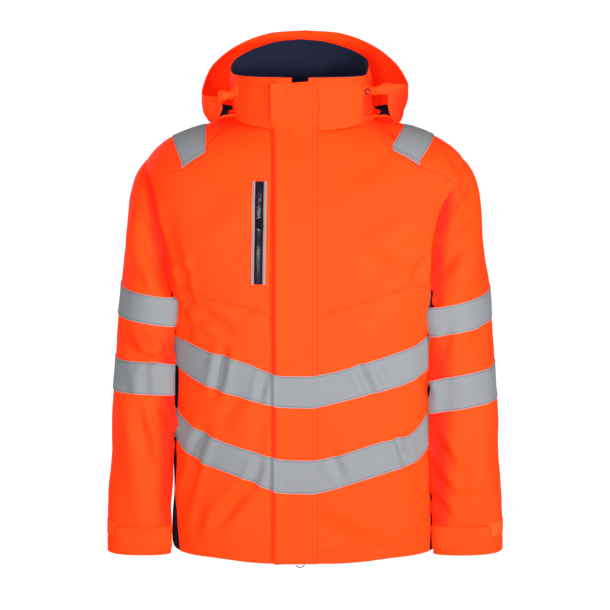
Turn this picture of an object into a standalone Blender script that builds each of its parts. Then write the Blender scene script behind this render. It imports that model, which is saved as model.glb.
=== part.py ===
"""Hooded hi-vis work jacket, filled out as if worn, with nobody in it.

Frame: +Z up, the front faces -Y, and +X is the wearer's left. The origin lies
between the shoulders at the height of the neck's sides, where a wearer carries
the jacket. All sizes below are in millimetres; meshes are made in metres.

The sewn outer surface is worked out first, as grids of points that share their
points along each seam. Each cloth piece is then a thin wall cut from it, a
little smaller than its seams, and what lies on a panel is made from that
panel's own points, moved out.
"""
import math

import bmesh
import bpy
import numpy as np
from mathutils import Matrix, Vector

MM = 0.001

# ---------------------------------------------------------------- cloth
SHELL_WALL = 2.0        # shell cloth with its fleece side
FLAP_WALL = 1.6         # storm flap, collar flaps and tabs
TAPE_WALL = 1.0         # reflective tape, edges and hook-and-loop patches
LINING_WALL = 1.2       # fleece that shows in the neck and in the hood
SEAM_GAP = 0.3          # between pieces sewn edge to edge or on each other
CREASE_COSINE = 0.3     # between the normals of two bodies of cloth, at a sharp crease
LINING_GAP = 1.6        # the hood's lining hangs a little loose
ZIP_TAPE_WALL = 1.4
# How far each kind of piece is cut back from the edge of what carries it.
COLLAR_LINING_TRIM, HOOD_LINING_TRIM, SHOULDER_PATCH_TRIM, ZIP_TRIM = 2.0, 1.0, 0.5, 0.3

# ---------------------------------------------------------------- torso
# Level sections from the hem up. Each is a rounded oblong: its half width, the
# places of its front and back middles, and how square its corners are.
TORSO_LEVELS = (
    # side_x, side_z, front_y, front_z, back_y, back_z, squareness
    (221.5, -704, -134, -706, 128, -706, 2.6),      # hem
    (220.0, -640, -136, -640, 130, -640, 2.6),
    (218.5, -575, -137, -575, 131, -575, 2.6),      # pockets
    (217.5, -510, -138, -510, 131, -510, 2.6),
    (217.0, -445, -138, -445, 130, -445, 2.6),      # waist
    (217.0, -385, -138, -385, 130, -385, 2.6),
    (217.5, -330, -138, -330, 131, -330, 2.6),
    (221.0, -282, -137, -282, 132, -282, 2.6),      # armpit
    (238.0, -235, -135, -236, 133, -232, 2.6),
    (254.0, -188, -132, -192, 133, -184, 2.6),      # shoulder blades
    (262.0, -142, -127, -152, 131, -138, 2.6),
    (262.0, -98, -120, -116, 126, -96, 2.6),
    (256.0, -57, -112, -82, 117, -54, 2.5),         # shoulder tip
    (204.0, -18, -101, -46, 102, -8, 2.3),
    (115.0, 5, -87, -8, 79, 37, 2.1),               # neck
)
SHOULDER_TIP_LEVEL = 12
NECK_LEVEL = 14

ZIP_MIDDLE_X = -7.8                 # middle of the zip between the two fronts
ZIP_HALF_WIDTH = 13.5
FLAP_EDGE_X = {"right": 49.5, "left": 20.7}
FRONT_EDGE_X = {"right": ZIP_HALF_WIDTH - ZIP_MIDDLE_X, "left": ZIP_HALF_WIDTH + ZIP_MIDDLE_X}
SIGN = {"right": -1, "left": 1}

# Lines that run from the front edge to the side seam: heights at stations
# across the front, from the middle of the jacket outwards.
LINE_STATIONS = (14, 50, 90, 130, 160, 185, 215)
FRONT_LINES = {
    "right": {
        "hem": (-706, -706, -704.5, -702, -701, -701, -701),
        "lower tape, bottom": (-589, -585, -569, -556, -547, -537, -515),
        "lower tape, top": (-533, -529, -518, -507, -497, -486, -465),
        "upper tape, bottom": (-448, -445, -436, -426, -417, -408, -393),
        "upper tape, top": (-395, -393, -377, -366, -360, -352, -342),
        "chest seam": (-303, -300, -288, -281, -274, -267, -270),
    },
    "left": {
        "hem": (-706, -706, -704.5, -702, -701, -701, -701),
        "lower tape, bottom": (-589, -581, -569, -559, -552, -545, -517),
        "lower tape, top": (-533, -527, -515, -505, -501, -493, -465),
        "upper tape, bottom": (-448, -440, -430, -422, -416, -409, -393),
        "upper tape, top": (-395, -388, -377, -368, -360, -353, -342),
        "chest seam": (-303, -292, -281, -270, -263, -258, -262),
    },
}
ROWS_BETWEEN_LINES = (4, 2, 2, 2, 3)
TAPE_ROWS = {"lower": (4, 6), "upper": (8, 10)}     # rows at each tape's edges
FRONT_COLUMNS = 9
NECK_FRONT_COLUMNS = 3              # of those, how many end at the neck
SIDE_COLUMNS = 4
ARMHOLE_ROWS = 7

# Side seams between the fronts and the side panels: height, distance out.
SIDE_SEAM = {
    "right": ((-701, 207), (-660, 211), (-600, 213), (-515, 212), (-465, 210), (-393, 208),
              (-342, 208), (-270, 215)),
    "left": ((-701, 206), (-660, 208), (-600, 208), (-517, 206), (-465, 204), (-393, 203),
             (-342, 202), (-262, 200)),
}
BACK_SEAM_X = 206                   # seams between the side panels and the back
WIDENS_FROM_Z = -345                # above here they lean out to the armholes
UNDERARM_Z = -288
UNDERARM_DIP = ((-1, 1.0), (-2, 0.35))          # row from the top, share of the dip that it takes
ARMPIT_TOP_Z = -262                 # below here the sleeves must clear the torso

# Armhole seams from the chest seam up to the yoke: distance out, height.
ARMHOLE_FRONT = {
    "right": ((215, -270), (219, -245), (223, -213), (229, -175), (237, -140), (245, -108), (251, -88)),
    "left": ((200, -262), (201, -235), (204, -200), (210, -165), (220, -135), (234, -110), (245, -96)),
}
ARMHOLE_BACK = ((213, -272), (219, -245), (225, -212), (232, -175), (240, -142), (247, -115), (251, -98))

# Stations along each shoulder, from the armhole to the neck: where the front
# yoke seam, the shoulder ridge and the back yoke seam pass. The second and
# third are the edges of the reflective shoulder patch.
SHOULDER_STATIONS = {
    "right": (
        # front_x, front_z, ridge_x, back_x, back_z
        (251, -88, 256, 251, -98),
        (199, -68, 209, 200, -103),
        (160, -42, 161, 150, -104),
        (105, -8, 115, 88, -104),
    ),
    "left": (
        (245, -96, 256, 251, -98),
        (185, -63, 206, 196, -103),
        (141, -38, 162, 148, -104),
        (92, -8, 115, 88, -104),
    ),
}
SHOULDER_COLUMNS = 2                # between two stations
SHOULDER_ROWS = (2, 4)              # before and behind the ridge
BACK_NECK_COLUMNS = 12
YOKE_SEAM_Z = -104

# ---------------------------------------------------------------- sleeves
# Rings from the armhole to the cuff: outer and inner point seen from the front,
# half depth, middle of the depth, and how far the front and back bow above the
# straight line. The left sleeve hangs lower by the next two. The last is how far
# the front's inner part is drawn up.
SLEEVE_RINGS = (
    # outer_x, outer_z, inner_x, inner_z, half_depth, middle_y, bow, left_outer, left_inner, rise
    (263.5, -66, 222.0, -291, 73, -2, 0, 0, 0, 8),
    (274.5, -83, 221.5, -294, 75, -4, 2, 1, 1, 13),
    (282.0, -107, 221.0, -296, 77, -6, 4, 3, 2, 17),
    (287.5, -140, 220.5, -298, 79, -8, 6, 5, 4, 21),
    (292.0, -180, 220.0, -300, 80, -10, 8, 7, 6, 27),
    (297.0, -223, 219.5, -303, 80, -12, 10, 9, 8, 34),
    (301.5, -263, 219.0, -307, 79, -14, 12, 10, 9, 38),     # upper tape, top
    (306.0, -311, 220.0, -352, 77, -16, 11, 10, 10, 36),     # upper tape, bottom
    (309.0, -348, 219.0, -380, 75, -18, 11, 12, 18, 28),
    (312.0, -382, 218.5, -404, 73, -20, 11, 13, 23, 18),    # lower tape, top
    (315.5, -434, 218.5, -452, 70, -23, 7, 17, 26, 16),     # lower tape, bottom
    (318.5, -490, 219.0, -500, 66, -26, 4, 11, 18, 12),
    (321.0, -540, 220.0, -546, 61, -29, 2, 6, 10, 4),
    (323.5, -590, 223.0, -594, 56, -32, 0, 3, 6, 0),
    (326.0, -630, 223.5, -632, 52, -34, 0, 2, 3, 0),
    (327.5, -656, 224.5, -657, 49, -35, 0, 0, 0, 0),         # cuff tab, top
    (328.0, -676, 225.5, -677, 47, -36, 0, 0, 0, 0),
    (328.5, -695, 226.0, -695, 46, -37, 0, 0, 0, 0),         # cuff tab, bottom
    (328.5, -706, 226.5, -706, 45, -37, 0, 0, 0, 0),         # cuff
)
SLEEVE_TAPE_RINGS = {"upper": (7, 8), "lower": (10, 11)}
CUFF_TAB_RINGS = (16, 18)
SLEEVE_TURN = {"right": 5.0, "left": 13.0}      # degrees that the front turns inwards
SLEEVE_WRAP = {"right": 11.0, "left": 30.0}      # how far its inner front edge reaches inwards
SLEEVE_WRAP_RINGS = 3.0                         # rings over which that begins
SLEEVE_CLEARANCE = 3.6                          # between the sleeve and the torso's side
SLEEVE_SQUARENESS = 2.5
SLEEVE_BLEND_RINGS = 6.0                        # rings that still take the armhole's shape
SLEEVE_SKEW = 0.3                               # share of the turn that moves the sides in depth

# ---------------------------------------------------------------- collar and hood
COLLAR_TOP = ((0, 78), (60, 78), (80, 80), (92, 87), (106, 99), (128, 114), (152, 125), (180, 129))
COLLAR_WIDEN = 1.02
COLLAR_FRONT_Y = 92 / 87
COLLAR_BACK_Y = 82 / 79
COLLAR_SHIFT_X = -7                 # the back of the collar leans to the wearer's right
COLLAR_ROWS = (0.0, 0.3, 0.6, 0.87, 1.0)
COLLAR_BELLY = 3.0
FLAP_TOP_ROW = 3

# The hood hangs behind the neck as a bag. Its sections run from the rim over
# the outside and the bottom to the inner wall; the last point is on the collar.
HOOD_STATIONS = (
    # share of the way from the back to the front end, then rim, outside, bottom, inner wall
    (0.00, (0, 136, 143), (0, 188, 34), (0, 168, -118), (0, 146, -56)),
    (0.20, (62, 128, 138), (76, 177, 34), (80, 162, -112), (66, 142, -56)),
    (0.40, (114, 101, 119), (138, 140, 38), (146, 132, -62), (116, 124, -22)),
    (0.60, (151, 63, 91), (165, 82, 42), (154, 88, -14), (134, 84, 6)),
    (0.78, (168, 12, 63), (167, 12, 34), (156, 14, 6), (136, 12, 12)),
    (0.90, (161, -43, 65), (161, -46, 36), (152, -40, 2), (136, -38, 8)),
    (1.00, (137, -61, 66), (133, -64, 40), (138, -58, 12), (127, -54, 14)),
)
HOOD_ROWS = 10
HOOD_FACING_ROWS = 2                # rows under the rim where the outer cloth shows inside
HOOD_SEAM_SHARE = 0.12              # height on the collar where the hood joins it
HOOD_SEAM_GAP = 0.6
HOOD_DROP, HOOD_DROP_FROM = 20, 0.6 # the right end's rim hangs lower, from this share on
HOOD_OUTSIDE_DROP = 0.6             # share of it that the outside goes down

# ---------------------------------------------------------------- folds
# The largest folds of the filled-out cloth: troughs are negative. Tilt is from
# +X, rising towards the wearer's left.
FOLDS = (
    # x, y, z, tilt, half_length, half_width, height
    (-135, -118, -398, 75, 46, 20, -5.0),       # across the upper tape, wearer's right
    (-172, -100, -522, 66, 42, 20, -4.0),
    (-112, -128, -612, 50, 62, 24, 4.0),        # drag from the pocket to the zip
    (-70, -136, -640, 52, 50, 20, -3.0),
    (94, -132, -402, -64, 44, 20, -4.0),        # across the upper tape, wearer's left
    (162, -108, -520, -72, 44, 20, -3.5),
    (120, -124, -610, -40, 60, 26, 3.5),
    (-196, -88, -232, -55, 46, 20, -4.0),       # from the armpits
    (190, -92, -225, 58, 46, 20, -4.0),
    (-254, -90, -374, -4, 34, 17, -5.0),        # elbow side of the right sleeve
    (-238, -92, -540, -70, 60, 18, -5.0),
    (285, -85, -348, 52, 30, 17, -5.0),         # left sleeve
    (236, -95, -565, -48, 40, 18, -5.0),
    (262, -84, -616, 30, 36, 17, 3.5),
    (-110, 132, -300, 55, 80, 28, -5.0),        # the back, from under the arms
    (112, 132, -310, -58, 84, 28, -5.0),
    (-60, 132, -420, 62, 80, 28, 4.0),
    (70, 132, -455, -64, 70, 26, 4.0),
    (-285, 60, -420, 35, 46, 22, -5.0),         # the backs of the elbows
    (285, 60, -440, -35, 46, 22, -5.0),
    (-280, 55, -500, -30, 44, 22, 4.0),
    (280, 55, -515, 30, 44, 22, 4.0),
)
FOLD_DEPTH = 60                     # how far a fold reaches along Y

# ---------------------------------------------------------------- chest pocket
POCKET_TOP_Z = -85
POCKET_BOTTOM_Z = -248
POCKET_ROWS = 8
POCKET_LEAN = 2.5                   # its lower end is further out by this
POCKET_LIFT = 0.5
POCKET_STRIPS = (
    # name, from x, to x, finish
    ("pocket_edge_outer", -83.4, -79.2, "reflective"),
    ("pocket_zip", -78.8, -65.4, "black"),
    ("pocket_edge_inner", -65.0, -60.8, "reflective"),
)
SLIDER_X = -72.4
SLIDER_TOP_Z, SLIDER_BOTTOM_Z = -103, -117.6
SLIDER_SIZE = (7.0, 2.6)            # width, thickness
PULLER_AXIS_Z = -119.4
PULLER_CORD = (3.0, 23.0)           # width, length under the axis
PULLER_END = (13.0, 18.0)           # width, length
PULLER_SHOULDERS = (3, 2)           # where the end starts to widen and is full, from its top
PULLER_CORNER, PULLER_ROUNDING = 2.5, 0.5
PULLER_THICK = 2.4
PULLER_CLEARANCE = 0.9              # over the zip's face

# ---------------------------------------------------------------- front trim
TAB_PATH = {
    "right": ((-112.4, -42.2), (-119.5, -56.0), (-129.0, -64.5), (-137.5, -64.8)),
    "left": ((96.3, -58.3), (110.0, -63.5), (124.0, -66.0), (137.5, -64.8)),
}
TAB_TOP_Z, TAB_BOTTOM_Z = 64, 48
TAB_DROP = {"right": 14, "left": 0}              # how much lower the tab's hood end is
CORD_END_ALONG, CORD_END_Z = 6.0, 54            # its middle, from the tab's start
CORD_END_RADIUS, CORD_END_WIRE = 4.2, 1.3
RING_RADIUS, RING_WIRE = 7.2, 0.8
RING_BOTTOM_Z = -714
EYE_RADIUS, EYE_WIRE = 2.1, 0.7
LOWER_SLIDER_SIZE = (10.0, 5.2, 13.0)
LOWER_SLIDER_DEPTH = 5.0            # its middle, behind the face of the zip
CUFF_TAB_COLUMNS = (0, 7)
CUFF_PATCH_COLUMNS = (7, 9)


# ---------------------------------------------------------------- reading the tables
def smooth(values, place):
    """Catmull-Rom reading of a table whose rows are numbered 0, 1, 2 ..."""
    values = np.asarray(values, float)
    last = len(values) - 1
    place = np.clip(np.asarray(place, float), 0, last)
    i = np.minimum(place.astype(int), last - 1)
    t = (place - i)[..., None]
    a, b = values[i], values[i + 1]
    before = np.where((i > 0)[..., None], values[np.maximum(i - 1, 0)], 2 * a - b)
    after = np.where((i < last - 1)[..., None], values[np.minimum(i + 2, last)], 2 * b - a)
    slope = b - before
    bend = 2 * before - 5 * a + 4 * b - after
    twist = 3 * a - before - 3 * b + after
    return 0.5 * (2 * a + slope * t + bend * t ** 2 + twist * t ** 3)


def along(points, count):
    """count + 1 points spread evenly along a polyline."""
    points = np.asarray(points, float)
    steps = np.linalg.norm(np.diff(points, axis=0), axis=1)
    length = np.concatenate([[0], np.cumsum(steps)])
    wanted = np.linspace(0, length[-1], count + 1)
    return np.stack([np.interp(wanted, length, points[:, k]) for k in range(points.shape[1])], 1)


def torso(phi, level):
    """Points of the torso: phi in degrees from the front middle round the wearer's left."""
    table = smooth(TORSO_LEVELS, level)
    side_x, side_z, front_y, front_z, back_y, back_z, square = np.moveaxis(table, -1, 0)
    s, c = np.sin(np.radians(phi)), np.cos(np.radians(phi))
    reach = (abs(s) ** square + abs(c) ** square) ** (1 / square)
    ahead = c > 0
    x = side_x * s / reach
    y = np.where(ahead, front_y, back_y) * abs(c) / reach
    z = side_z + (np.where(ahead, front_z, back_z) - side_z) * (c / reach) ** 2
    return np.stack([x, y, z], -1)


def real(grid):
    return torso(grid[..., 0], grid[..., 1])


def find(x, z, back=False):
    """(phi, level) of the torso points that a front or back view shows at x, z."""
    x, z = np.broadcast_arrays(np.asarray(x, float), np.asarray(z, float))
    phi = np.full(x.shape, 45.0)
    level = np.zeros(x.shape)
    for _ in range(60):
        turned = 180 - phi if back else phi
        low = np.zeros(x.shape)
        high = np.full(x.shape, float(NECK_LEVEL))
        for _ in range(24):
            level = (low + high) / 2
            under = torso(turned, level)[..., 2] < z
            low = np.where(under, level, low)
            high = np.where(under, high, level)
        table = smooth(TORSO_LEVELS, level)
        square = table[..., 6]
        share = np.minimum(abs(x) / table[..., 0], 0.99999)
        wanted = np.degrees(np.arctan2(share, (1 - share ** square) ** (1 / square)))
        phi = 0.4 * phi + 0.6 * wanted
    phi = 180 - phi if back else phi
    phi = np.where(x < 0, 360 - phi, phi)
    return np.stack([phi, level], -1)


def neck_angle(x):
    """phi of the neck seam's front at distance x from the middle."""
    square = TORSO_LEVELS[NECK_LEVEL][6]
    share = np.asarray(x, float) / TORSO_LEVELS[NECK_LEVEL][0]
    return np.degrees(np.arctan2(share, (1 - share ** square) ** (1 / square)))


def coons(bottom, top, start, end):
    """A grid between four edges: rows from bottom to top, columns from start to end."""
    rows, columns = len(start) - 1, len(bottom) - 1
    v = np.linspace(0, 1, rows + 1)[:, None, None]
    u = np.linspace(0, 1, columns + 1)[None, :, None]
    across = (1 - v) * bottom[None] + v * top[None]
    up = (1 - u) * start[:, None] + u * end[:, None]
    corners = ((1 - v) * (1 - u) * bottom[0] + (1 - v) * u * bottom[-1]
               + v * (1 - u) * top[0] + v * u * top[-1])
    return across + up - corners


# ---------------------------------------------------------------- the sewn surface
def front_line(side, name, x):
    return np.interp(x, LINE_STATIONS, FRONT_LINES[side][name])


def seam_rows(side):
    """Heights of all rows at the side seam, and the line pair and share of each."""
    names = list(FRONT_LINES[side])
    rows = []
    for pair, count in enumerate(ROWS_BETWEEN_LINES):
        for step in range(count):
            rows.append((names[pair], names[pair + 1], step / count))
    rows.append((names[-1], names[-1], 0.0))
    return rows


def lower_front(side):
    """Grid of the lower front, from the front edge out to the side seam."""
    heights, outs = np.array(SIDE_SEAM[side], float).T
    grid = []
    for below, above, share in seam_rows(side):
        ends = [FRONT_LINES[side][name][-1] for name in (below, above)]
        seam_x = np.interp((1 - share) * ends[0] + share * ends[1], heights, outs)
        flap_x = FLAP_EDGE_X[side]
        x = np.concatenate([[FRONT_EDGE_X[side]], np.linspace(flap_x, seam_x, FRONT_COLUMNS)])
        reach = np.where(x > 100, 100 + (x - 100) * (LINE_STATIONS[-1] - 100) / (seam_x - 100), x)
        z = (1 - share) * front_line(side, below, reach) + share * front_line(side, above, reach)
        grid.append(np.stack([SIGN[side] * x, z], -1))
    grid = np.array(grid)
    return find(grid[..., 0], grid[..., 1])


def shoulder_stations(side):
    """(phi, level) of the front, ridge and back of each column along a shoulder."""
    sign = SIGN[side]
    table = np.array(SHOULDER_STATIONS[side], float)
    half_widths = np.array([row[0] for row in TORSO_LEVELS[SHOULDER_TIP_LEVEL:]])
    ridge_level = np.interp(-table[:, 2], -half_widths, np.arange(SHOULDER_TIP_LEVEL, NECK_LEVEL + 1))
    front = find(sign * table[:, 0], table[:, 1])
    back = find(sign * table[:, 3], table[:, 4], back=True)
    ridge = np.stack([np.full(len(table), 90.0 if sign > 0 else 270.0), ridge_level], -1)
    neck_phi = neck_angle(table[-1, 0])
    front[-1] = (neck_phi if sign > 0 else 360 - neck_phi, NECK_LEVEL)
    stations = np.stack([front, ridge, back], 1)
    columns = []
    for k in range(len(stations) - 1):
        for step in range(SHOULDER_COLUMNS):
            share = step / SHOULDER_COLUMNS
            columns.append((1 - share) * stations[k] + share * stations[k + 1])
    columns.append(stations[-1])
    return np.array(columns)


def shoulder_block(side):
    """Grid of the yoke over one shoulder: columns from armhole to neck, rows front to back."""
    stations = shoulder_stations(side)
    before, behind = SHOULDER_ROWS
    turn = before / (before + behind)
    rows = []
    for k in range(before + behind + 1):
        w = k / (before + behind)
        front_part = (w - turn) * (w - 1) / turn
        ridge_part = w * (w - 1) / (turn * (turn - 1))
        back_part = w * (w - turn) / (1 - turn)
        row = front_part * stations[:, 0] + ridge_part * stations[:, 1] + back_part * stations[:, 2]
        if k <= before:
            row[-1, 1] = NECK_LEVEL
        rows.append(row)
    return np.array(rows)


def upper_front(side, lower, shoulder):
    """Grid of the chest, from the chest seam up to the neck and the yoke seam."""
    sign = SIGN[side]
    neck_x = np.linspace(FLAP_EDGE_X[side], SHOULDER_STATIONS[side][-1][0], NECK_FRONT_COLUMNS)
    neck_x = np.concatenate([[FRONT_EDGE_X[side]], neck_x])
    phi = neck_angle(neck_x)
    neck = np.stack([phi if sign > 0 else 360 - phi, np.full(len(phi), float(NECK_LEVEL))], -1)
    top = np.concatenate([neck[:-1], shoulder[0][::-1]])
    bottom = lower[-1]
    armhole = along(ARMHOLE_FRONT[side], ARMHOLE_ROWS)
    end = find(sign * armhole[:, 0], armhole[:, 1])
    end[0], end[-1] = bottom[-1], top[-1]
    edges = []
    for column in (0, 1):
        x = torso(*bottom[column])[0]
        low, high = torso(*bottom[column])[2], torso(*top[column])[2]
        z = np.linspace(low, high, ARMHOLE_ROWS + 1)
        line = find(np.full(len(z), x), z)
        line[0], line[-1] = bottom[column], top[column]
        edges.append(line)
    seen = coons(*(real(edge)[:, [0, 2]] for edge in (bottom[1:], top[1:], edges[1], end)))
    rest = find(seen[..., 0], seen[..., 1])
    rest[0], rest[-1], rest[:, 0], rest[:, -1] = bottom[1:], top[1:], edges[1], end
    return np.concatenate([edges[0][:, None], rest], 1)


def side_panel(side, front_seam):
    """Grid of the side panel, from the front seam round to the back seam."""
    sign = SIGN[side]
    heights = torso(front_seam[:, 0], front_seam[:, 1])[:, 2]
    corner_x, corner_z = ARMHOLE_BACK[0]
    widen = np.clip((heights - WIDENS_FROM_Z) / (heights[-1] - WIDENS_FROM_Z), 0, 1)
    back = find(sign * (BACK_SEAM_X + (corner_x - BACK_SEAM_X) * widen),
                heights + (corner_z - heights[-1]) * widen, back=True)
    share = np.linspace(0, 1, SIDE_COLUMNS + 1)[None, :, None]
    grid = (1 - share) * front_seam[:, None] + share * back[:, None]
    deepest = find(0.0, UNDERARM_Z)[1]
    dip = np.sin(math.pi * share[0, :, 0])
    for row, part in UNDERARM_DIP:
        grid[row, :, 1] += part * dip * (deepest - grid[-1, :, 1])
    return grid


def back_panels(left_side, right_side, left_shoulder, right_shoulder):
    """Lower and upper grids of the back, from the wearer's left to the right."""
    columns = 2 * (left_shoulder.shape[1] - 1) + BACK_NECK_COLUMNS
    share = np.linspace(0, 1, columns + 1)[None, :, None]
    start, end = left_side[:, -1], right_side[:, -1]
    lower = (1 - share) * start[:, None] + share * end[:, None]
    middle_x = np.linspace(SHOULDER_STATIONS["left"][-1][3], -SHOULDER_STATIONS["right"][-1][3],
                           BACK_NECK_COLUMNS + 1)
    middle = find(middle_x, np.full(len(middle_x), float(YOKE_SEAM_Z)), back=True)
    top = np.concatenate([left_shoulder[-1], middle[1:-1], right_shoulder[-1][::-1]])
    sides = []
    for sign, corner, shoulder in ((1, start[-1], left_shoulder), (-1, end[-1], right_shoulder)):
        armhole = along(ARMHOLE_BACK, ARMHOLE_ROWS)
        line = find(sign * armhole[:, 0], armhole[:, 1], back=True)
        line[0], line[-1] = corner, shoulder[-1, 0]
        sides.append(line)
    return lower, coons(lower[-1], top, sides[0], sides[1])


def yoke_middle(left_shoulder, right_shoulder, back_top):
    """Grid of the yoke behind the neck, from the neck down to the back yoke seam."""
    before = SHOULDER_ROWS[0]
    start, end = left_shoulder[before:, -1], right_shoulder[before:, -1]
    phi = np.linspace(start[0, 0], end[0, 0], BACK_NECK_COLUMNS + 1)
    neck = np.stack([phi, np.full(len(phi), float(NECK_LEVEL))], -1)
    return coons(neck, back_top, start, end)


def torso_side(y, z):
    """Half width of the torso at depth y and height z, below the arms."""
    levels = np.arange(NECK_LEVEL + 1)
    table = np.array(TORSO_LEVELS, float)
    level = np.interp(np.minimum(z, ARMPIT_TOP_Z), table[:, 1], levels)
    section = smooth(table, level)
    deep = np.where(y < 0, section[:, 2], section[:, 4])
    share = np.minimum(abs(y / deep), 1)
    return section[:, 0] * (1 - share ** section[:, 6]) ** (1 / section[:, 6])


def sleeve_grid(side, armhole):
    """Rings of a sleeve, the first of them the armhole itself."""
    sign = SIGN[side]
    table = np.array(SLEEVE_RINGS, float)
    if side == "left":
        table[:, 1] -= table[:, 7]
        table[:, 3] -= table[:, 8]
    ring = armhole * (sign, 1, 1)
    top, bottom = ring[np.argmax(ring[:, 2])], ring[np.argmin(ring[:, 2])]
    outer, inner = np.array((top[0], 0, top[2])), np.array((bottom[0], 0, bottom[2]))
    middle, half = (outer + inner) / 2, (outer - inner) / 2
    long = np.linalg.norm(half)
    axis = half / long
    normal = np.array((axis[2], 0, -axis[0]))
    middle_y = (ring[:, 1].max() + ring[:, 1].min()) / 2
    half_depth = (ring[:, 1].max() - ring[:, 1].min()) / 2
    p = (ring - middle) @ axis / long
    q = (ring[:, 1] - middle_y) / half_depth
    lean = (ring - middle) @ normal
    angle = np.arctan2(q, p)
    c, s = np.cos(angle), np.sin(angle)
    reach = (abs(c) ** SLEEVE_SQUARENESS + abs(s) ** SLEEVE_SQUARENESS) ** (1 / SLEEVE_SQUARENESS)
    rings = [ring]
    for k, row in enumerate(table, 1):
        share = min(k / SLEEVE_BLEND_RINGS, 1)
        share = share * share * (3 - 2 * share)
        outer, inner = np.array((row[0], 0, row[1])), np.array((row[2], 0, row[3]))
        middle, half = (outer + inner) / 2, (outer - inner) / 2
        long = np.linalg.norm(half)
        axis = half / long
        normal = np.array((axis[2], 0, -axis[0]))
        across = (1 - share) * p + share * c / reach
        deep = (1 - share) * q + share * s / reach
        turn = math.radians(SLEEVE_TURN[side]) * share
        u = long * across * math.cos(turn) + row[4] * deep * math.sin(turn)
        wrap = SLEEVE_WRAP[side] * min(k / SLEEVE_WRAP_RINGS, 1)
        u -= wrap * np.maximum(-deep, 0) ** 1.5 * (1 - across) / 2
        w = row[4] * deep * math.cos(turn) - long * across * math.sin(turn) * SLEEVE_SKEW
        points = middle + u[:, None] * axis + ((1 - share) * lean)[:, None] * normal
        points[:, 1] += (1 - share) * middle_y + share * row[5] + w
        points[:, 2] += row[6] * (1 - across ** 2)
        points[:, 2] += row[9] * np.maximum(-deep, 0) ** 0.5 * ((1 - across) / 2) ** 2
        near = torso_side(points[:, 1], points[:, 2]) + SLEEVE_CLEARANCE * min(k / 3, 1)
        points[:, 0] = np.maximum(points[:, 0], near)
        rings.append(points)
    return np.array(rings) * (sign, 1, 1)


def collar_grid(neck):
    """Rows of the collar from the neck seam up, one column for each neck point."""
    angle = np.degrees(np.arctan2(abs(neck[:, 0]), -neck[:, 1]))
    top = neck.copy()
    widen = 1 + (COLLAR_WIDEN - 1) * np.clip(angle / 60, 0, 1)
    top[:, 0] = neck[:, 0] * widen + COLLAR_SHIFT_X * np.sin(np.radians(angle / 2)) ** 2
    top[:, 1] = neck[:, 1] * np.where(neck[:, 1] < 0, COLLAR_FRONT_Y, COLLAR_BACK_Y)
    top[:, 2] = np.interp(angle, *np.array(COLLAR_TOP, float).T)
    share = np.array(COLLAR_ROWS)[:, None, None]
    out = neck * (1, 1, 0)
    out = out / np.linalg.norm(out, axis=1)[:, None]
    return (1 - share) * neck + share * top + COLLAR_BELLY * 4 * share * (1 - share) * out


def hood_grid(collar):
    """The hood's outer surface: a column for each collar column behind the front corners."""
    row = np.searchsorted(COLLAR_ROWS, HOOD_SEAM_SHARE)
    part = HOOD_SEAM_SHARE / COLLAR_ROWS[row]
    base = (1 - part) * collar[0] + part * collar[row]
    out = base * (1, 1, 0)
    base = base + out / np.linalg.norm(out, axis=1)[:, None] * HOOD_SEAM_GAP
    shares = np.array([row[0] for row in HOOD_STATIONS])
    stations = np.array([np.concatenate(row[1:]) for row in HOOD_STATIONS], float)
    count = len(base)
    place = np.linspace(-1, 1, count)
    number = np.interp(abs(place), shares, np.arange(len(shares)))
    sections = smooth(stations, number).reshape(count, 4, 3)
    sections[:, :, 0] *= np.sign(place)[:, None]
    drop = np.clip((-place - HOOD_DROP_FROM) / (0.95 - HOOD_DROP_FROM), 0, 1)
    drop = HOOD_DROP * drop ** 2 * (3 - 2 * drop)
    sections[:, :2, 2] -= drop[:, None] * (1, HOOD_OUTSIDE_DROP)
    sections = np.concatenate([sections, base[:, None]], 1)
    t = np.linspace(0, 4, HOOD_ROWS + 1)
    return np.stack([smooth(section, t) for section in sections], 1)


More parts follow.
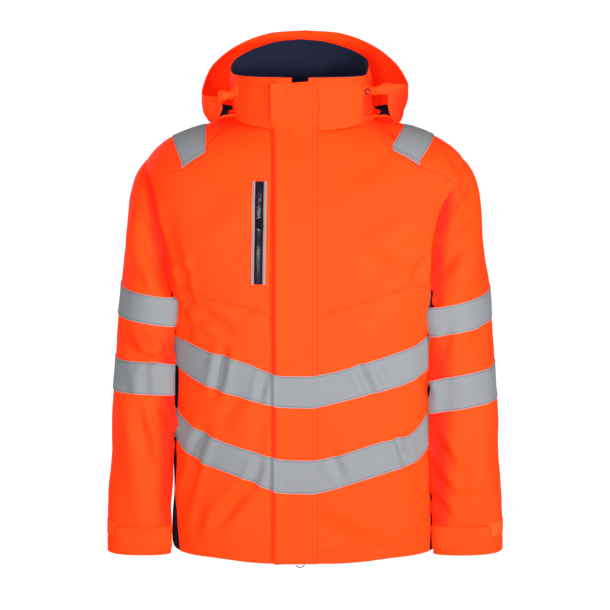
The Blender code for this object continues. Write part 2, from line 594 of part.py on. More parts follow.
# ---------------------------------------------------------------- surfaces and walls
class Surface:
    """An open sheet of triangles made from one or more grids that share points."""

    def __init__(self, *grids, inside=(0, 0, -300)):
        points, faces = [], []
        for grid in grids:
            rows, columns = grid.shape[:2]
            start = sum(len(block) for block in points)
            points.append(grid.reshape(-1, 3))
            number = start + np.arange(rows * columns).reshape(rows, columns)
            a, b = number[:-1, :-1].ravel(), number[:-1, 1:].ravel()
            c, d = number[1:, 1:].ravel(), number[1:, :-1].ravel()
            corners = grid.reshape(-1, 3)
            first = np.linalg.norm(corners[a - start] - corners[c - start], axis=1)
            second = np.linalg.norm(corners[b - start] - corners[d - start], axis=1)
            a, b, c, d = np.where(first <= second, (a, b, c, d), (b, c, d, a))
            sheet = np.concatenate([np.stack([a, b, c], 1), np.stack([a, c, d], 1)])
            side = np.cross(corners[sheet[:, 1] - start] - corners[sheet[:, 0] - start],
                            corners[sheet[:, 2] - start] - corners[sheet[:, 0] - start])
            middle = corners[sheet - start].mean(1)
            if (side * (middle - inside)).sum() < 0:
                sheet = sheet[:, ::-1]
            faces.append(sheet)
        points = np.concatenate(points)
        keys, first, self.same = np.unique(np.round(points, 3), axis=0, return_index=True,
                                           return_inverse=True)
        self.same = self.same.ravel()
        self.points = points[first]
        faces = self.same[np.concatenate(faces)]
        whole = ((faces[:, 0] != faces[:, 1]) & (faces[:, 1] != faces[:, 2])
                 & (faces[:, 2] != faces[:, 0]))
        self.faces = faces[whole]

    def normals(self):
        a, b, c = (self.points[self.faces[:, k]] for k in range(3))
        flat = np.cross(b - a, c - a)
        total = np.zeros_like(self.points)
        for k in range(3):
            here, left, right = (self.points[self.faces[:, (k + m) % 3]] for m in range(3))
            first, second = left - here, right - here
            cosine = (first * second).sum(1) / np.maximum(
                np.linalg.norm(first, axis=1) * np.linalg.norm(second, axis=1), 1e-9)
            corner = np.arccos(np.clip(cosine, -1, 1))
            unit = flat / np.maximum(np.linalg.norm(flat, axis=1), 1e-9)[:, None]
            np.add.at(total, self.faces[:, k], unit * corner[:, None])
        return total / np.maximum(np.linalg.norm(total, axis=1), 1e-9)[:, None]

    def edges(self):
        """Directed boundary edges, in the faces' own turning sense."""
        pairs = np.concatenate([self.faces[:, [0, 1]], self.faces[:, [1, 2]], self.faces[:, [2, 0]]])
        known = {tuple(pair) for pair in pairs}
        return [pair for pair in known if (pair[1], pair[0]) not in known]


def fold_height(points):
    """How far the folds lift or sink each point: a bell across, along and behind each fold's line."""
    total = np.zeros(len(points))
    for x, y, z, tilt, half_length, half_width, height in FOLDS:
        dx, dy, dz = points[:, 0] - x, points[:, 1] - y, points[:, 2] - z
        c, s = math.cos(math.radians(tilt)), math.sin(math.radians(tilt))
        run, across = dx * c + dz * s, dz * c - dx * s
        total += height * np.exp(-(run / half_length) ** 2 - (across / half_width) ** 2
                                 - (dy / FOLD_DEPTH) ** 2)
    return total


class Skin:
    """The whole sewn surface: where each point goes once folded, and its normal there.

    Where two bodies of cloth meet in a sharp crease, as a sleeve and the torso do
    under the arm, each body keeps its own normal.
    """

    def __init__(self, bodies):
        start, points, faces, ranges = 0, [], [], {}
        for body, sheets in bodies.items():
            first_face = sum(len(block) for block in faces)
            for sheet in sheets:
                points.append(sheet.points)
                faces.append(sheet.faces + start)
                start += len(sheet.points)
            ranges[body] = slice(first_face, sum(len(block) for block in faces))
        points = np.concatenate(points)
        keys, first, same = np.unique(np.round(points, 3), axis=0, return_index=True,
                                      return_inverse=True)
        whole = Surface.__new__(Surface)
        faces = same.ravel()[np.concatenate(faces)]
        whole.points, whole.faces = points[first], faces
        whole.points = whole.points + whole.normals() * fold_height(whole.points)[:, None]
        shared = whole.normals()
        own = {}
        for body, rows in ranges.items():
            whole.faces = faces[rows]
            own[body] = whole.normals()
        self.books = {}
        for body in bodies:
            normals = shared.copy()
            for other in bodies:
                between = (own[body] * own[other]).sum(1)
                meet = (np.linalg.norm(own[body], axis=1) > 0.5) & (
                    np.linalg.norm(own[other], axis=1) > 0.5)
                creased = meet & (between < CREASE_COSINE)
                normals[creased] = own[body][creased]
            self.books[body] = dict(zip(map(tuple, keys), zip(whole.points, normals)))

    def read(self, points, body):
        """Folded places and normals of points that belong to the surface."""
        found = [self.books[body][tuple(key)] for key in np.round(points, 3)]
        return np.array([pair[0] for pair in found]), np.array([pair[1] for pair in found])


def trimmed(surface, trim):
    """The sheet's points with its edge drawn in by trim, for the gap at its seams."""
    points = surface.points.copy()
    edges = surface.edges()
    pull = {}
    for a, b in edges:
        face = next(f for f in surface.faces if a in f and b in f)
        third = next(v for v in face if v not in (a, b))
        run = surface.points[b] - surface.points[a]
        run = run / np.linalg.norm(run)
        into = surface.points[third] - surface.points[a]
        into = into - run * (into @ run)
        into = into / np.linalg.norm(into)
        pull.setdefault(a, []).append(into)
        pull.setdefault(b, []).append(into)
    for vertex, ways in pull.items():
        mean = np.mean(ways, axis=0)
        points[vertex] += trim * mean / max(mean @ mean, 0.4)
    return points


def material(name, colour, roughness, metallic=0.0):
    found = bpy.data.materials.get(name)
    if found:
        return found
    made = bpy.data.materials.new(name)
    made.use_nodes = True
    shader = made.node_tree.nodes["Principled BSDF"]
    shader.inputs["Base Color"].default_value = (*colour, 1)
    shader.inputs["Roughness"].default_value = roughness
    shader.inputs["Metallic"].default_value = metallic
    return made


ORANGE = ("orange shell cloth", (1.0, 0.10, 0.012), 0.6)
NAVY = ("navy cloth", (0.013, 0.012, 0.035), 0.85)
FLEECE = ("navy fleece", (0.017, 0.019, 0.045), 0.95)
REFLECTIVE = ("reflective tape", (0.36, 0.38, 0.42), 0.5)
HOOK = ("hook-and-loop patch", (1.0, 0.17, 0.03), 0.8)
BLACK = ("black plastic", (0.01, 0.01, 0.012), 0.45)
RUBBER = ("dark rubber", (0.03, 0.015, 0.012), 0.55)
STEEL = ("dark steel", (0.12, 0.12, 0.13), 0.35, 1.0)


def place_object(name, mesh, finish):
    obj = bpy.data.objects.new(name, mesh)
    mesh.materials.append(material(*finish))
    bpy.data.collections["hi_vis_work_jacket"].objects.link(obj)
    return obj


def wall(name, surface, normals, lift, thickness, finish, trim=SEAM_GAP / 2):
    """A closed cloth wall: the sheet's points at lift and at lift + thickness."""
    points = trimmed(surface, trim)
    count = len(points)
    vertices = np.concatenate([points + normals * (lift + thickness), points + normals * lift])
    faces = [tuple(face) for face in surface.faces]
    faces += [tuple(face[::-1] + count) for face in surface.faces]
    for a, b in surface.edges():
        under_a, under_b = a + count, b + count
        one = np.linalg.norm(vertices[a] - vertices[under_b])
        other = np.linalg.norm(vertices[b] - vertices[under_a])
        if one < other:
            faces += [(b, a, under_b), (a, under_a, under_b)]
        else:
            faces += [(b, a, under_a), (b, under_a, under_b)]
    mesh = bpy.data.meshes.new(name)
    mesh.from_pydata((vertices * MM).tolist(), [], [tuple(int(v) for v in face) for face in faces])
    mesh.shade_smooth()
    mesh.set_sharp_from_angle(angle=math.radians(40))
    mesh.update()
    return place_object(name, mesh, finish)


# ---------------------------------------------------------------- hardware
def tidy_mesh(name, bm, finish):
    bmesh.ops.recalc_face_normals(bm, faces=bm.faces)
    mesh = bpy.data.meshes.new(name)
    bm.to_mesh(mesh)
    bm.free()
    return place_object(name, mesh, finish)


def block(name, centre, size, finish, turn=None, bevel=0.0):
    """A small box with rounded edges, centre and size in millimetres."""
    bm = bmesh.new()
    bmesh.ops.create_cube(bm, size=1.0)
    bmesh.ops.scale(bm, vec=Vector(size) * MM, verts=bm.verts)
    if bevel:
        bmesh.ops.bevel(bm, geom=bm.edges[:], offset=bevel * MM, segments=1, affect="EDGES")
    if turn is not None:
        bmesh.ops.transform(bm, matrix=turn, verts=bm.verts)
    bmesh.ops.translate(bm, vec=Vector(centre) * MM, verts=bm.verts)
    return tidy_mesh(name, bm, finish)


def ring_mesh(name, centre, radius, wire, finish, turn, sides=20, wire_sides=8):
    """A closed ring of round wire; its axis is +Z before it is turned."""
    angles = np.linspace(0, 2 * math.pi, sides, endpoint=False)
    tube = np.linspace(0, 2 * math.pi, wire_sides, endpoint=False)
    a, t = np.meshgrid(angles, tube, indexing="ij")
    out = radius + wire * np.cos(t)
    points = np.stack([out * np.cos(a), out * np.sin(a), wire * np.sin(t)], -1).reshape(-1, 3)
    points = points @ np.array(turn.to_3x3()).T + centre
    number = np.arange(sides * wire_sides).reshape(sides, wire_sides)
    beside, above = np.roll(number, -1, 0), np.roll(number, -1, 1)
    corner = np.roll(beside, -1, 1)
    faces = np.stack([number, beside, corner, above], -1).reshape(-1, 4)
    mesh = bpy.data.meshes.new(name)
    mesh.from_pydata((points * MM).tolist(), [], faces.tolist())
    mesh.shade_smooth()
    return place_object(name, mesh, finish)


# ---------------------------------------------------------------- the jacket
def torso_grids():
    """Grids of every torso panel, and the rings of points that sleeves and collar take over."""
    lower = {side: lower_front(side) for side in SIGN}
    shoulder = {side: shoulder_block(side) for side in SIGN}
    upper = {side: upper_front(side, lower[side], shoulder[side]) for side in SIGN}
    flank = {side: side_panel(side, lower[side][:, -1]) for side in SIGN}
    back_low, back_high = back_panels(flank["left"], flank["right"], shoulder["left"],
                                      shoulder["right"])
    shoulder_span = shoulder["left"].shape[1] - 1
    behind_neck = yoke_middle(shoulder["left"], shoulder["right"],
                              back_high[-1, shoulder_span:-shoulder_span])
    grids = {"back": [real(back_low), real(back_high)],
             "yoke": [real(shoulder["left"]), real(behind_neck), real(shoulder["right"])]}
    for side in SIGN:
        grids[f"front_{side}"] = [real(lower[side])]
        grids[f"chest_{side}"] = [real(upper[side])]
        grids[f"side_panel_{side}"] = [real(flank[side])]

    armholes = {}
    for column, side in ((0, "left"), (-1, "right")):
        over = [upper[side][:-1, -1], shoulder[side][:-1, 0], back_high[:0:-1, column],
                flank[side][-1, ::-1]]
        armholes[side] = real(np.concatenate(over))
    before = SHOULDER_ROWS[0]
    neck = real(np.concatenate([
        upper["right"][-1, :NECK_FRONT_COLUMNS], shoulder["right"][:before, -1],
        behind_neck[0, ::-1], shoulder["left"][:before, -1][::-1],
        upper["left"][-1, :NECK_FRONT_COLUMNS][::-1]]))
    return grids, armholes, neck


def front_strip(grids, collar, near, far):
    """The columns from near to far of both fronts, joined to the collar's own."""
    columns = []
    for side, ends in (("right", near), ("left", far)):
        for column in ends:
            place = column if side == "right" else -1 - column
            columns.append(np.concatenate([grids[f"front_{side}"][0][:, column],
                                           grids[f"chest_{side}"][0][1:, column],
                                           collar[1:, place]]))
    return np.stack(columns, 1)


def strip_wall(name, grid, lift, thickness, finish, inside=(0, 0, -150), trim=0.0):
    surface = Surface(grid, inside=inside)
    return wall(name, surface, surface.normals(), lift, thickness, finish, trim=trim)


def chest_pocket():
    """The upright pocket zip on the right chest, with its slider and hanging puller."""
    finishes = {"reflective": REFLECTIVE, "black": BLACK}
    z = np.linspace(POCKET_TOP_Z, POCKET_BOTTOM_Z, POCKET_ROWS + 1)
    lean = np.linspace(0, POCKET_LEAN, POCKET_ROWS + 1)
    for name, near, far, finish in POCKET_STRIPS:
        x = np.stack([near - lean, far - lean], 1)
        place = find(x, z[:, None] + 0 * x)
        strip_wall(name, real(place), POCKET_LIFT, TAPE_WALL, finishes[finish])

    zip_face = POCKET_LIFT + TAPE_WALL

    def chest_point(height):
        return real(find(SLIDER_X, height))

    def lying(top, bottom):
        """The turn that lays a piece on the chest between two heights."""
        down = chest_point(top) - chest_point(bottom)
        half = PULLER_END[0] / 2
        across = real(find(SLIDER_X + half, top)) - real(find(SLIDER_X - half, top))
        level = Matrix.Rotation(math.atan2(across[1], across[0]), 4, "Z")
        return level @ Matrix.Rotation(math.atan2(-down[1], down[2]), 4, "X")

    middle_z = (SLIDER_TOP_Z + SLIDER_BOTTOM_Z) / 2
    turn = lying(SLIDER_TOP_Z, SLIDER_BOTTOM_Z)
    width, thick = SLIDER_SIZE
    out = np.array(turn.to_3x3() @ Vector((0, -1, 0)))
    centre = chest_point(middle_z) + out * (zip_face + SEAM_GAP + thick / 2)
    block("pocket_slider", centre, (width, thick, SLIDER_TOP_Z - SLIDER_BOTTOM_Z), BLACK,
          turn=turn, bevel=0.6)

    lift = zip_face + PULLER_CLEARANCE + PULLER_THICK / 2
    turn = lying(PULLER_AXIS_Z, PULLER_AXIS_Z - PULLER_CORD[1] - PULLER_END[1])
    axis = chest_point(PULLER_AXIS_Z) + np.array(turn.to_3x3() @ Vector((0, -lift, 0)))
    bm = bmesh.new()
    half_cord, half_end = PULLER_CORD[0] / 2, PULLER_END[0] / 2
    top, neck, foot = PULLER_THICK / 2, -PULLER_CORD[1], -PULLER_CORD[1] - PULLER_END[1]
    above, below = PULLER_SHOULDERS
    outline = ((half_cord, top), (half_cord, neck + above), (half_end, neck - below),
               (half_end, foot + PULLER_CORNER), (half_end - PULLER_CORNER, foot))
    outline = outline + tuple((-x, z) for x, z in outline[::-1])
    thick = PULLER_THICK / 2
    ring = [bm.verts.new((x, -thick, z)) for x, z in outline]
    face = bm.faces.new(ring)
    back = bmesh.ops.extrude_face_region(bm, geom=[face])["geom"]
    bmesh.ops.translate(bm, vec=(0, 2 * thick, 0),
                        verts=[part for part in back if isinstance(part, bmesh.types.BMVert)])
    bmesh.ops.bevel(bm, geom=bm.edges[:], offset=PULLER_ROUNDING, segments=1, affect="EDGES")
    bmesh.ops.scale(bm, vec=(MM, MM, MM), verts=bm.verts)
    bmesh.ops.rotate(bm, matrix=turn.to_3x3(), verts=bm.verts)
    puller = tidy_mesh("pocket_puller", bm, RUBBER)
    puller.location = Vector(axis) * MM


def cord_end(side, start, beyond):
    """The ring at a cord's end, lying on the hood tab near its start."""
    run = (beyond - start) / np.linalg.norm(beyond - start)
    out = np.array((run[1], -run[0])) * SIGN[side]
    lift = FLAP_WALL + SEAM_GAP + CORD_END_WIRE
    centre = (*(start + run * CORD_END_ALONG + out * lift), CORD_END_Z)
    turn = (Matrix.Rotation(math.atan2(run[1], run[0]), 4, "Z")
            @ Matrix.Rotation(math.pi / 2, 4, "X"))
    ring_mesh(f"cord_end_{side}", centre, CORD_END_RADIUS, CORD_END_WIRE, BLACK, turn, sides=16,
              wire_sides=6)


def front_hardware(zip_surface_point):
    """Lower slider of the two-way zip, its eye and the pull ring that hangs in it."""
    depth = zip_surface_point[1]
    width, thick, tall = LOWER_SLIDER_SIZE
    ring_middle = RING_BOTTOM_Z + RING_RADIUS + RING_WIRE
    ring_top = ring_middle + RING_RADIUS
    y = depth + LOWER_SLIDER_DEPTH
    turn = Matrix.Rotation(math.pi / 2, 4, "X")
    ring_mesh("zip_ring", (ZIP_MIDDLE_X, y, ring_middle), RING_RADIUS, RING_WIRE, STEEL, turn)
    eye = ring_mesh("zip_lower_slider", (ZIP_MIDDLE_X, y, ring_top), EYE_RADIUS, EYE_WIRE, STEEL,
                    Matrix.Rotation(math.pi / 2, 4, "Y"), sides=14, wire_sides=6)
    body = block("slider_body", (ZIP_MIDDLE_X, y, ring_top + EYE_RADIUS + tall / 2),
                 (width, thick, tall), STEEL, bevel=0.5)
    union = eye.modifiers.new("join", "BOOLEAN")
    union.operation = "UNION"
    union.object = body
    body.hide_render = True
    body.display_type = "WIRE"
    bpy.data.collections["hi_vis_work_jacket"].objects.unlink(body)
    bpy.data.collections["joined into others"].objects.link(body)


def build():
    for obj in list(bpy.data.objects):
        bpy.data.objects.remove(obj, do_unlink=True)
    for name in ("hi_vis_work_jacket", "joined into others"):
        collection = bpy.data.collections.new(name)
        bpy.context.scene.collection.children.link(collection)

    grids, armholes, neck = torso_grids()
    collar = collar_grid(neck)
    sleeves = {side: sleeve_grid(side, armholes[side]) for side in SIGN}
    arm_inside = {side: (SIGN[side] * 270, -20, -450) for side in SIGN}
    zip_grid = front_strip(grids, collar, (0,), (0,))
    flap_grid = front_strip(grids, collar, (1, 0), (0, 1))[:FLAP_TOP_ROW - len(COLLAR_ROWS) + 1]
    bodies = {side: [Surface(sleeves[side], inside=arm_inside[side])] for side in SIGN}
    bodies["torso"] = [Surface(grid) for group in grids.values() for grid in group]
    bodies["torso"] += [Surface(zip_grid), Surface(collar, inside=(0, 0, 50))]
    skin = Skin(bodies)

    def cut(name, grids_used, lift, thickness, finish, body="torso", inside=(0, 0, -300),
            trim=SEAM_GAP / 2):
        surface = Surface(*grids_used, inside=inside)
        surface.points, normals = skin.read(surface.points, body)
        return wall(name, surface, normals, lift, thickness, finish, trim=trim)

    for name, group in grids.items():
        cut(name, group, -SHELL_WALL, SHELL_WALL, NAVY if "side_panel" in name else ORANGE)
    neck_inside = (0, 0, 50)
    cut("collar", [collar], -SHELL_WALL, SHELL_WALL, ORANGE, inside=neck_inside)
    cut("collar_lining", [collar], -SHELL_WALL - SEAM_GAP - LINING_WALL, LINING_WALL, FLEECE,
        inside=neck_inside, trim=COLLAR_LINING_TRIM)
    cut("front_zip", [zip_grid], -SHELL_WALL, ZIP_TAPE_WALL, BLACK, trim=ZIP_TRIM)
    cut("storm_flap", [flap_grid], SEAM_GAP, FLAP_WALL, ORANGE)

    for side in SIGN:
        grid, inside = sleeves[side], arm_inside[side]
        cut(f"sleeve_{side}", [grid], -SHELL_WALL, SHELL_WALL, ORANGE, body=side, inside=inside)
        for place, (top, bottom) in SLEEVE_TAPE_RINGS.items():
            cut(f"sleeve_tape_{place}_{side}", [grid[top:bottom + 1]], SEAM_GAP, TAPE_WALL,
                REFLECTIVE, body=side, inside=inside, trim=0)
        top, bottom = CUFF_TAB_RINGS
        first, last = CUFF_TAB_COLUMNS
        cut(f"cuff_tab_{side}", [grid[top:bottom + 1, first:last + 1]], SEAM_GAP, FLAP_WALL, ORANGE,
            body=side, inside=inside)
        first, last = CUFF_PATCH_COLUMNS
        cut(f"cuff_patch_{side}", [grid[top:bottom, first:last + 1]], SEAM_GAP, TAPE_WALL, HOOK,
            body=side, inside=inside)

    flanks = {side: grids[f"side_panel_{side}"][0] for side in SIGN}
    for place, (bottom, top) in TAPE_ROWS.items():
        rows = slice(bottom, top + 1)
        for side in SIGN:
            cut(f"tape_{place}_front_{side}", [grids[f"front_{side}"][0][rows, 1:]], SEAM_GAP,
                TAPE_WALL, REFLECTIVE)
        round_back = np.concatenate([flanks["left"][rows], grids["back"][0][rows, 1:],
                                     flanks["right"][rows, ::-1][:, 1:]], 1)
        cut(f"tape_{place}_back", [round_back], SEAM_GAP, TAPE_WALL, REFLECTIVE)
        cut(f"tape_{place}_flap", [flap_grid[rows]], 2 * SEAM_GAP + FLAP_WALL, TAPE_WALL, REFLECTIVE)

    patch = slice(SHOULDER_COLUMNS, 2 * SHOULDER_COLUMNS + 1)
    for number, side in ((0, "left"), (2, "right")):
        cut(f"shoulder_patch_{side}", [grids["yoke"][number][:, patch]], SEAM_GAP, TAPE_WALL,
            REFLECTIVE, trim=SHOULDER_PATCH_TRIM)

    hood = hood_grid(collar[:, NECK_FRONT_COLUMNS:len(neck) - NECK_FRONT_COLUMNS])
    inside = (0, 110, 40)
    hood_surface = Surface(hood, inside=inside)
    hood_normals = hood_surface.normals()
    wall("hood", hood_surface, hood_normals, -SHELL_WALL, SHELL_WALL, ORANGE, trim=0)
    book = {tuple(key): normal for key, normal in zip(np.round(hood_surface.points, 3), hood_normals)}
    inner = Surface(hood[HOOD_FACING_ROWS:-1, 1:-1], inside=inside)
    inner_normals = np.array([book[tuple(key)] for key in np.round(inner.points, 3)])
    wall("hood_lining", inner, inner_normals, -SHELL_WALL - LINING_GAP - LINING_WALL, LINING_WALL,
         FLEECE, trim=HOOD_LINING_TRIM)

    for side, columns in (("right", slice(1, 4)), ("left", slice(-4, -1))):
        cut(f"collar_flap_{side}", [collar[:FLAP_TOP_ROW + 1, columns]], SEAM_GAP, FLAP_WALL,
            ORANGE, inside=neck_inside)
        path = np.array(TAB_PATH[side], float)
        drop = TAB_DROP[side] * np.linspace(0, 1, len(path))
        tab = np.stack([np.column_stack([path, z - drop]) for z in (TAB_BOTTOM_Z, TAB_TOP_Z)])
        strip_wall(f"hood_tab_{side}", tab, 0, FLAP_WALL, ORANGE, inside=(SIGN[side] * 115, 0, 56))
        cord_end(side, path[0], path[1])

    chest_pocket()
    front_hardware(zip_grid[0].mean(0))


build()
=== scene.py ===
"""Looks of the hooded hi-vis work jacket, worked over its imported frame.

Frame: +Z up, the front faces -Y and +X is the wearer's left. Tables are in
millimetres and meshes in metres. Each cloth piece starts as a grid of points on
the jacket's sewn form, takes its folds and seams, and becomes a thin shell.
"""
import math

import bpy
import numpy as np
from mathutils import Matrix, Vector


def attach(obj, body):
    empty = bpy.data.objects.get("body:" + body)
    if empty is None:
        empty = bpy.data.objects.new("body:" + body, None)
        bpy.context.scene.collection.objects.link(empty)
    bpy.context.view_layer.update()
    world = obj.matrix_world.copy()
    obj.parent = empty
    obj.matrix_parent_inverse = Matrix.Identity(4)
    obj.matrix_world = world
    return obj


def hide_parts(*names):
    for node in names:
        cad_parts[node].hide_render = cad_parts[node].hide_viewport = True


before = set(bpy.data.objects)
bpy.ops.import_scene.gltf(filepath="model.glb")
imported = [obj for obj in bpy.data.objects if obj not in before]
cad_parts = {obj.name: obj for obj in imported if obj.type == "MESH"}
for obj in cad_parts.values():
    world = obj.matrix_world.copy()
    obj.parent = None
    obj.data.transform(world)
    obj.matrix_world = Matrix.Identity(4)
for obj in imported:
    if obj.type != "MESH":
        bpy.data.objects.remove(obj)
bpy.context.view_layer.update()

# ---------------------------------------------------------------- studio
# A pale paper sweep under and behind the jacket, lit by large soft boxes from
# the front and above. It is the place, not a part of the jacket.
MM = 0.001                          # metres in a millimetre
FLOOR_Z = -716.0
SWEEP_HALF_WIDTH = 6000.0
SWEEP_FRONT, SWEEP_BACK, SWEEP_TOP, SWEEP_BEND = -9000.0, 2600.0, 4200.0, 1500.0


def new_mesh(name, points, faces):
    """A mesh through points given in millimetres."""
    made = bpy.data.meshes.new(name)
    made.from_pydata((points.reshape(-1, 3) * MM).tolist(), [], faces)
    return made


def put_in_scene(mesh, finish, body=None, sharp_past=None, smooth=True):
    """Shades a mesh smooth but for edges past an angle, finishes it and lets it ride its body."""
    if smooth:
        mesh.shade_smooth()
    if sharp_past:
        mesh.set_sharp_from_angle(angle=math.radians(sharp_past))
    mesh.materials.append(finish)
    made = bpy.data.objects.new(mesh.name, mesh)
    bpy.context.scene.collection.objects.link(made)
    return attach(made, body) if body else made


def plain_material(name, colour, roughness, metallic=0.0):
    """A principled material of one colour, given as linear red, green and blue."""
    made = bpy.data.materials.new(name)
    made.use_nodes = True
    shader = made.node_tree.nodes["Principled BSDF"]
    shader.inputs["Base Color"].default_value = (*colour, 1)
    shader.inputs["Roughness"].default_value = roughness
    shader.inputs["Metallic"].default_value = metallic
    return made


def add_node(tree, kind, inputs, **settings):
    """A shader node with its settings; each input is a value or the output that feeds it."""
    made = tree.nodes.new("ShaderNode" + kind)
    for name, value in settings.items():
        setattr(made, name, value)
    for socket, value in inputs.items():
        if isinstance(value, bpy.types.NodeSocket):
            tree.links.new(value, made.inputs[socket])
        else:
            made.inputs[socket].default_value = value
    return made


def by_rays(tree, socket, seen, around):
    """Gives a socket one value for the camera's own rays and another for light on other pieces."""
    rays = add_node(tree, "LightPath", {}).outputs["Is Camera Ray"]
    mix = add_node(tree, "MapRange", {"Value": rays, "To Min": around, "To Max": seen})
    tree.links.new(mix.outputs["Result"], socket)


def seen_glow(material, colour, strength, around=0.0):
    """Emission of one strength as seen by the camera and of another as it lights other pieces."""
    shader = material.node_tree.nodes["Principled BSDF"]
    by_rays(material.node_tree, shader.inputs["Emission Strength"], strength, around)
    shader.inputs["Emission Color"].default_value = (*colour, 1)


bend = np.radians(np.linspace(0, 90, 17))
sweep_y = np.concatenate([[SWEEP_FRONT], SWEEP_BACK + SWEEP_BEND * np.sin(bend),
                          [SWEEP_BACK + SWEEP_BEND]])
sweep_z = np.concatenate([[0], SWEEP_BEND * (1 - np.cos(bend)), [SWEEP_TOP]]) + FLOOR_Z
sweep_points = np.stack([np.stack([np.full(len(sweep_y), x), sweep_y, sweep_z], -1)
                         for x in (-SWEEP_HALF_WIDTH, SWEEP_HALF_WIDTH)])
count = len(sweep_y)
sweep_faces = [(k, count + k, count + k + 1, k + 1) for k in range(count - 1)]
paper = plain_material("pale paper", (0.55, 0.55, 0.55), 0.9)
seen_glow(paper, (1, 1, 1), 0.97, 0.10)
put_in_scene(new_mesh("paper_sweep", sweep_points, sweep_faces), paper)


def aimed(name, data, stands, target):
    """A light or camera standing at one place and turned to face another."""
    made = bpy.data.objects.new(name, data)
    made.location = stands
    made.rotation_euler = (target - Vector(stands)).to_track_quat("-Z", "Y").to_euler()
    bpy.context.scene.collection.objects.link(made)
    return made


SOFT_BOXES = (
    # name, place in metres, width, watts, spread in degrees
    ("key light", (2.9, -3.2, 0.1), 0.8, 8.2, 42),
    ("second light", (-0.7, -4.2, 0.0), 0.9, 6.3, 42),
    ("top light", (0.1, 0.6, 3.0), 2.2, 6, 180),
    ("back light", (-1.9, 2.2, 0.7), 1.0, 9, 120),
)
LIGHT_AIM = Vector((0.02, 0, -0.22))
for name, stands, width, watts, spread in SOFT_BOXES:
    light = bpy.data.lights.new(name, "AREA")
    light.spread, light.size, light.energy = math.radians(spread), width, watts
    aimed(name, light, stands, LIGHT_AIM)

world = bpy.data.worlds.new("studio")
world.use_nodes = True
background = world.node_tree.nodes["Background"]
background.inputs["Color"].default_value = (1, 1, 1, 1)
by_rays(world.node_tree, background.inputs["Strength"], 1.0, 0.05)
bpy.context.scene.world = world
bpy.context.scene.view_settings.view_transform = "Standard"

# ---------------------------------------------------------------- camera
# A long lens straight before the jacket and a little above it, far enough away
# that the sleeves and the collar are seen almost square.
CAMERA_DISTANCE, CAMERA_RISE, CAMERA_LENS = 4.0, 9.0, 143.07
CAMERA_AIM = Vector((0, 0, -0.302))
lens = bpy.data.cameras.new("camera")
lens.lens, lens.sensor_width = CAMERA_LENS, 36.0
rise = math.radians(CAMERA_RISE)
camera_place = CAMERA_AIM + Vector((0, -math.cos(rise), math.sin(rise))) * CAMERA_DISTANCE
bpy.context.scene.camera = aimed("camera", lens, camera_place, CAMERA_AIM)

# ---------------------------------------------------------------- lower fronts
# The two lower fronts are cut from orange polyester shell cloth. They reach from the
# V-shaped chest seam down to the hem and are sewn to the navy side panels.
SIGN = {"right": -1, "left": 1}
FINE = 5                            # grid cells for each cell of the jacket's pattern
TORSO_LEVELS = (
    # side_x, side_z, front_y, front_z, back_y, back_z, squareness
    (221.5, -704, -134, -706, 128, -706, 2.6),
    (220.0, -640, -136, -640, 130, -640, 2.6),
    (218.5, -575, -137, -575, 131, -575, 2.6),
    (217.5, -510, -138, -510, 131, -510, 2.6),
    (217.0, -445, -138, -445, 130, -445, 2.6),
    (217.0, -385, -138, -385, 130, -385, 2.6),
    (217.5, -330, -138, -330, 131, -330, 2.6),
    (221.0, -282, -137, -282, 132, -282, 2.6),
    (238.0, -235, -135, -236, 133, -232, 2.6),
    (254.0, -188, -132, -192, 133, -184, 2.6),
    (262.0, -142, -127, -152, 131, -138, 2.6),
    (262.0, -98, -120, -116, 126, -96, 2.6),
    (256.0, -57, -112, -82, 117, -54, 2.5),
    (204.0, -18, -101, -46, 102, -8, 2.3),
    (115.0, 5, -87, -8, 79, 37, 2.1),
)
SHOULDER_TIP_LEVEL, NECK_LEVEL = 12, 14
ZIP_MIDDLE_X, ZIP_HALF_WIDTH = -7.8, 13.5
FLAP_EDGE_X = {"right": 49.5, "left": 20.7}
FRONT_EDGE_X = {"right": ZIP_HALF_WIDTH - ZIP_MIDDLE_X, "left": ZIP_HALF_WIDTH + ZIP_MIDDLE_X}
LINE_STATIONS = (14, 50, 90, 130, 160, 185, 215)
FRONT_LINES = {
    "right": {
        "hem": (-706, -706, -704.5, -702, -701, -701, -701),
        "lower tape, bottom": (-589, -585, -569, -556, -547, -537, -515),
        "lower tape, top": (-533, -529, -518, -507, -497, -486, -465),
        "upper tape, bottom": (-448, -445, -436, -426, -417, -408, -393),
        "upper tape, top": (-395, -393, -377, -366, -360, -352, -342),
        "chest seam": (-303, -300, -288, -281, -274, -267, -270),
    },
    "left": {
        "hem": (-706, -706, -704.5, -702, -701, -701, -701),
        "lower tape, bottom": (-589, -581, -569, -559, -552, -545, -517),
        "lower tape, top": (-533, -527, -515, -505, -501, -493, -465),
        "upper tape, bottom": (-448, -440, -430, -422, -416, -409, -393),
        "upper tape, top": (-395, -388, -377, -368, -360, -353, -342),
        "chest seam": (-303, -292, -281, -270, -263, -258, -262),
    },
}
ROWS_BETWEEN_LINES = (4, 2, 2, 2, 3)
STRIP_COLUMNS = 6                   # between the zip and the flap's edge
PANEL_COLUMNS = 8                   # from there to the side seam
SIDE_SEAM = {
    "right": ((-701, 207), (-660, 211), (-600, 213), (-515, 212), (-465, 210), (-393, 208),
              (-342, 208), (-270, 215)),
    "left": ((-701, 206), (-660, 208), (-600, 208), (-517, 206), (-465, 204), (-393, 203),
             (-342, 202), (-262, 200)),
}
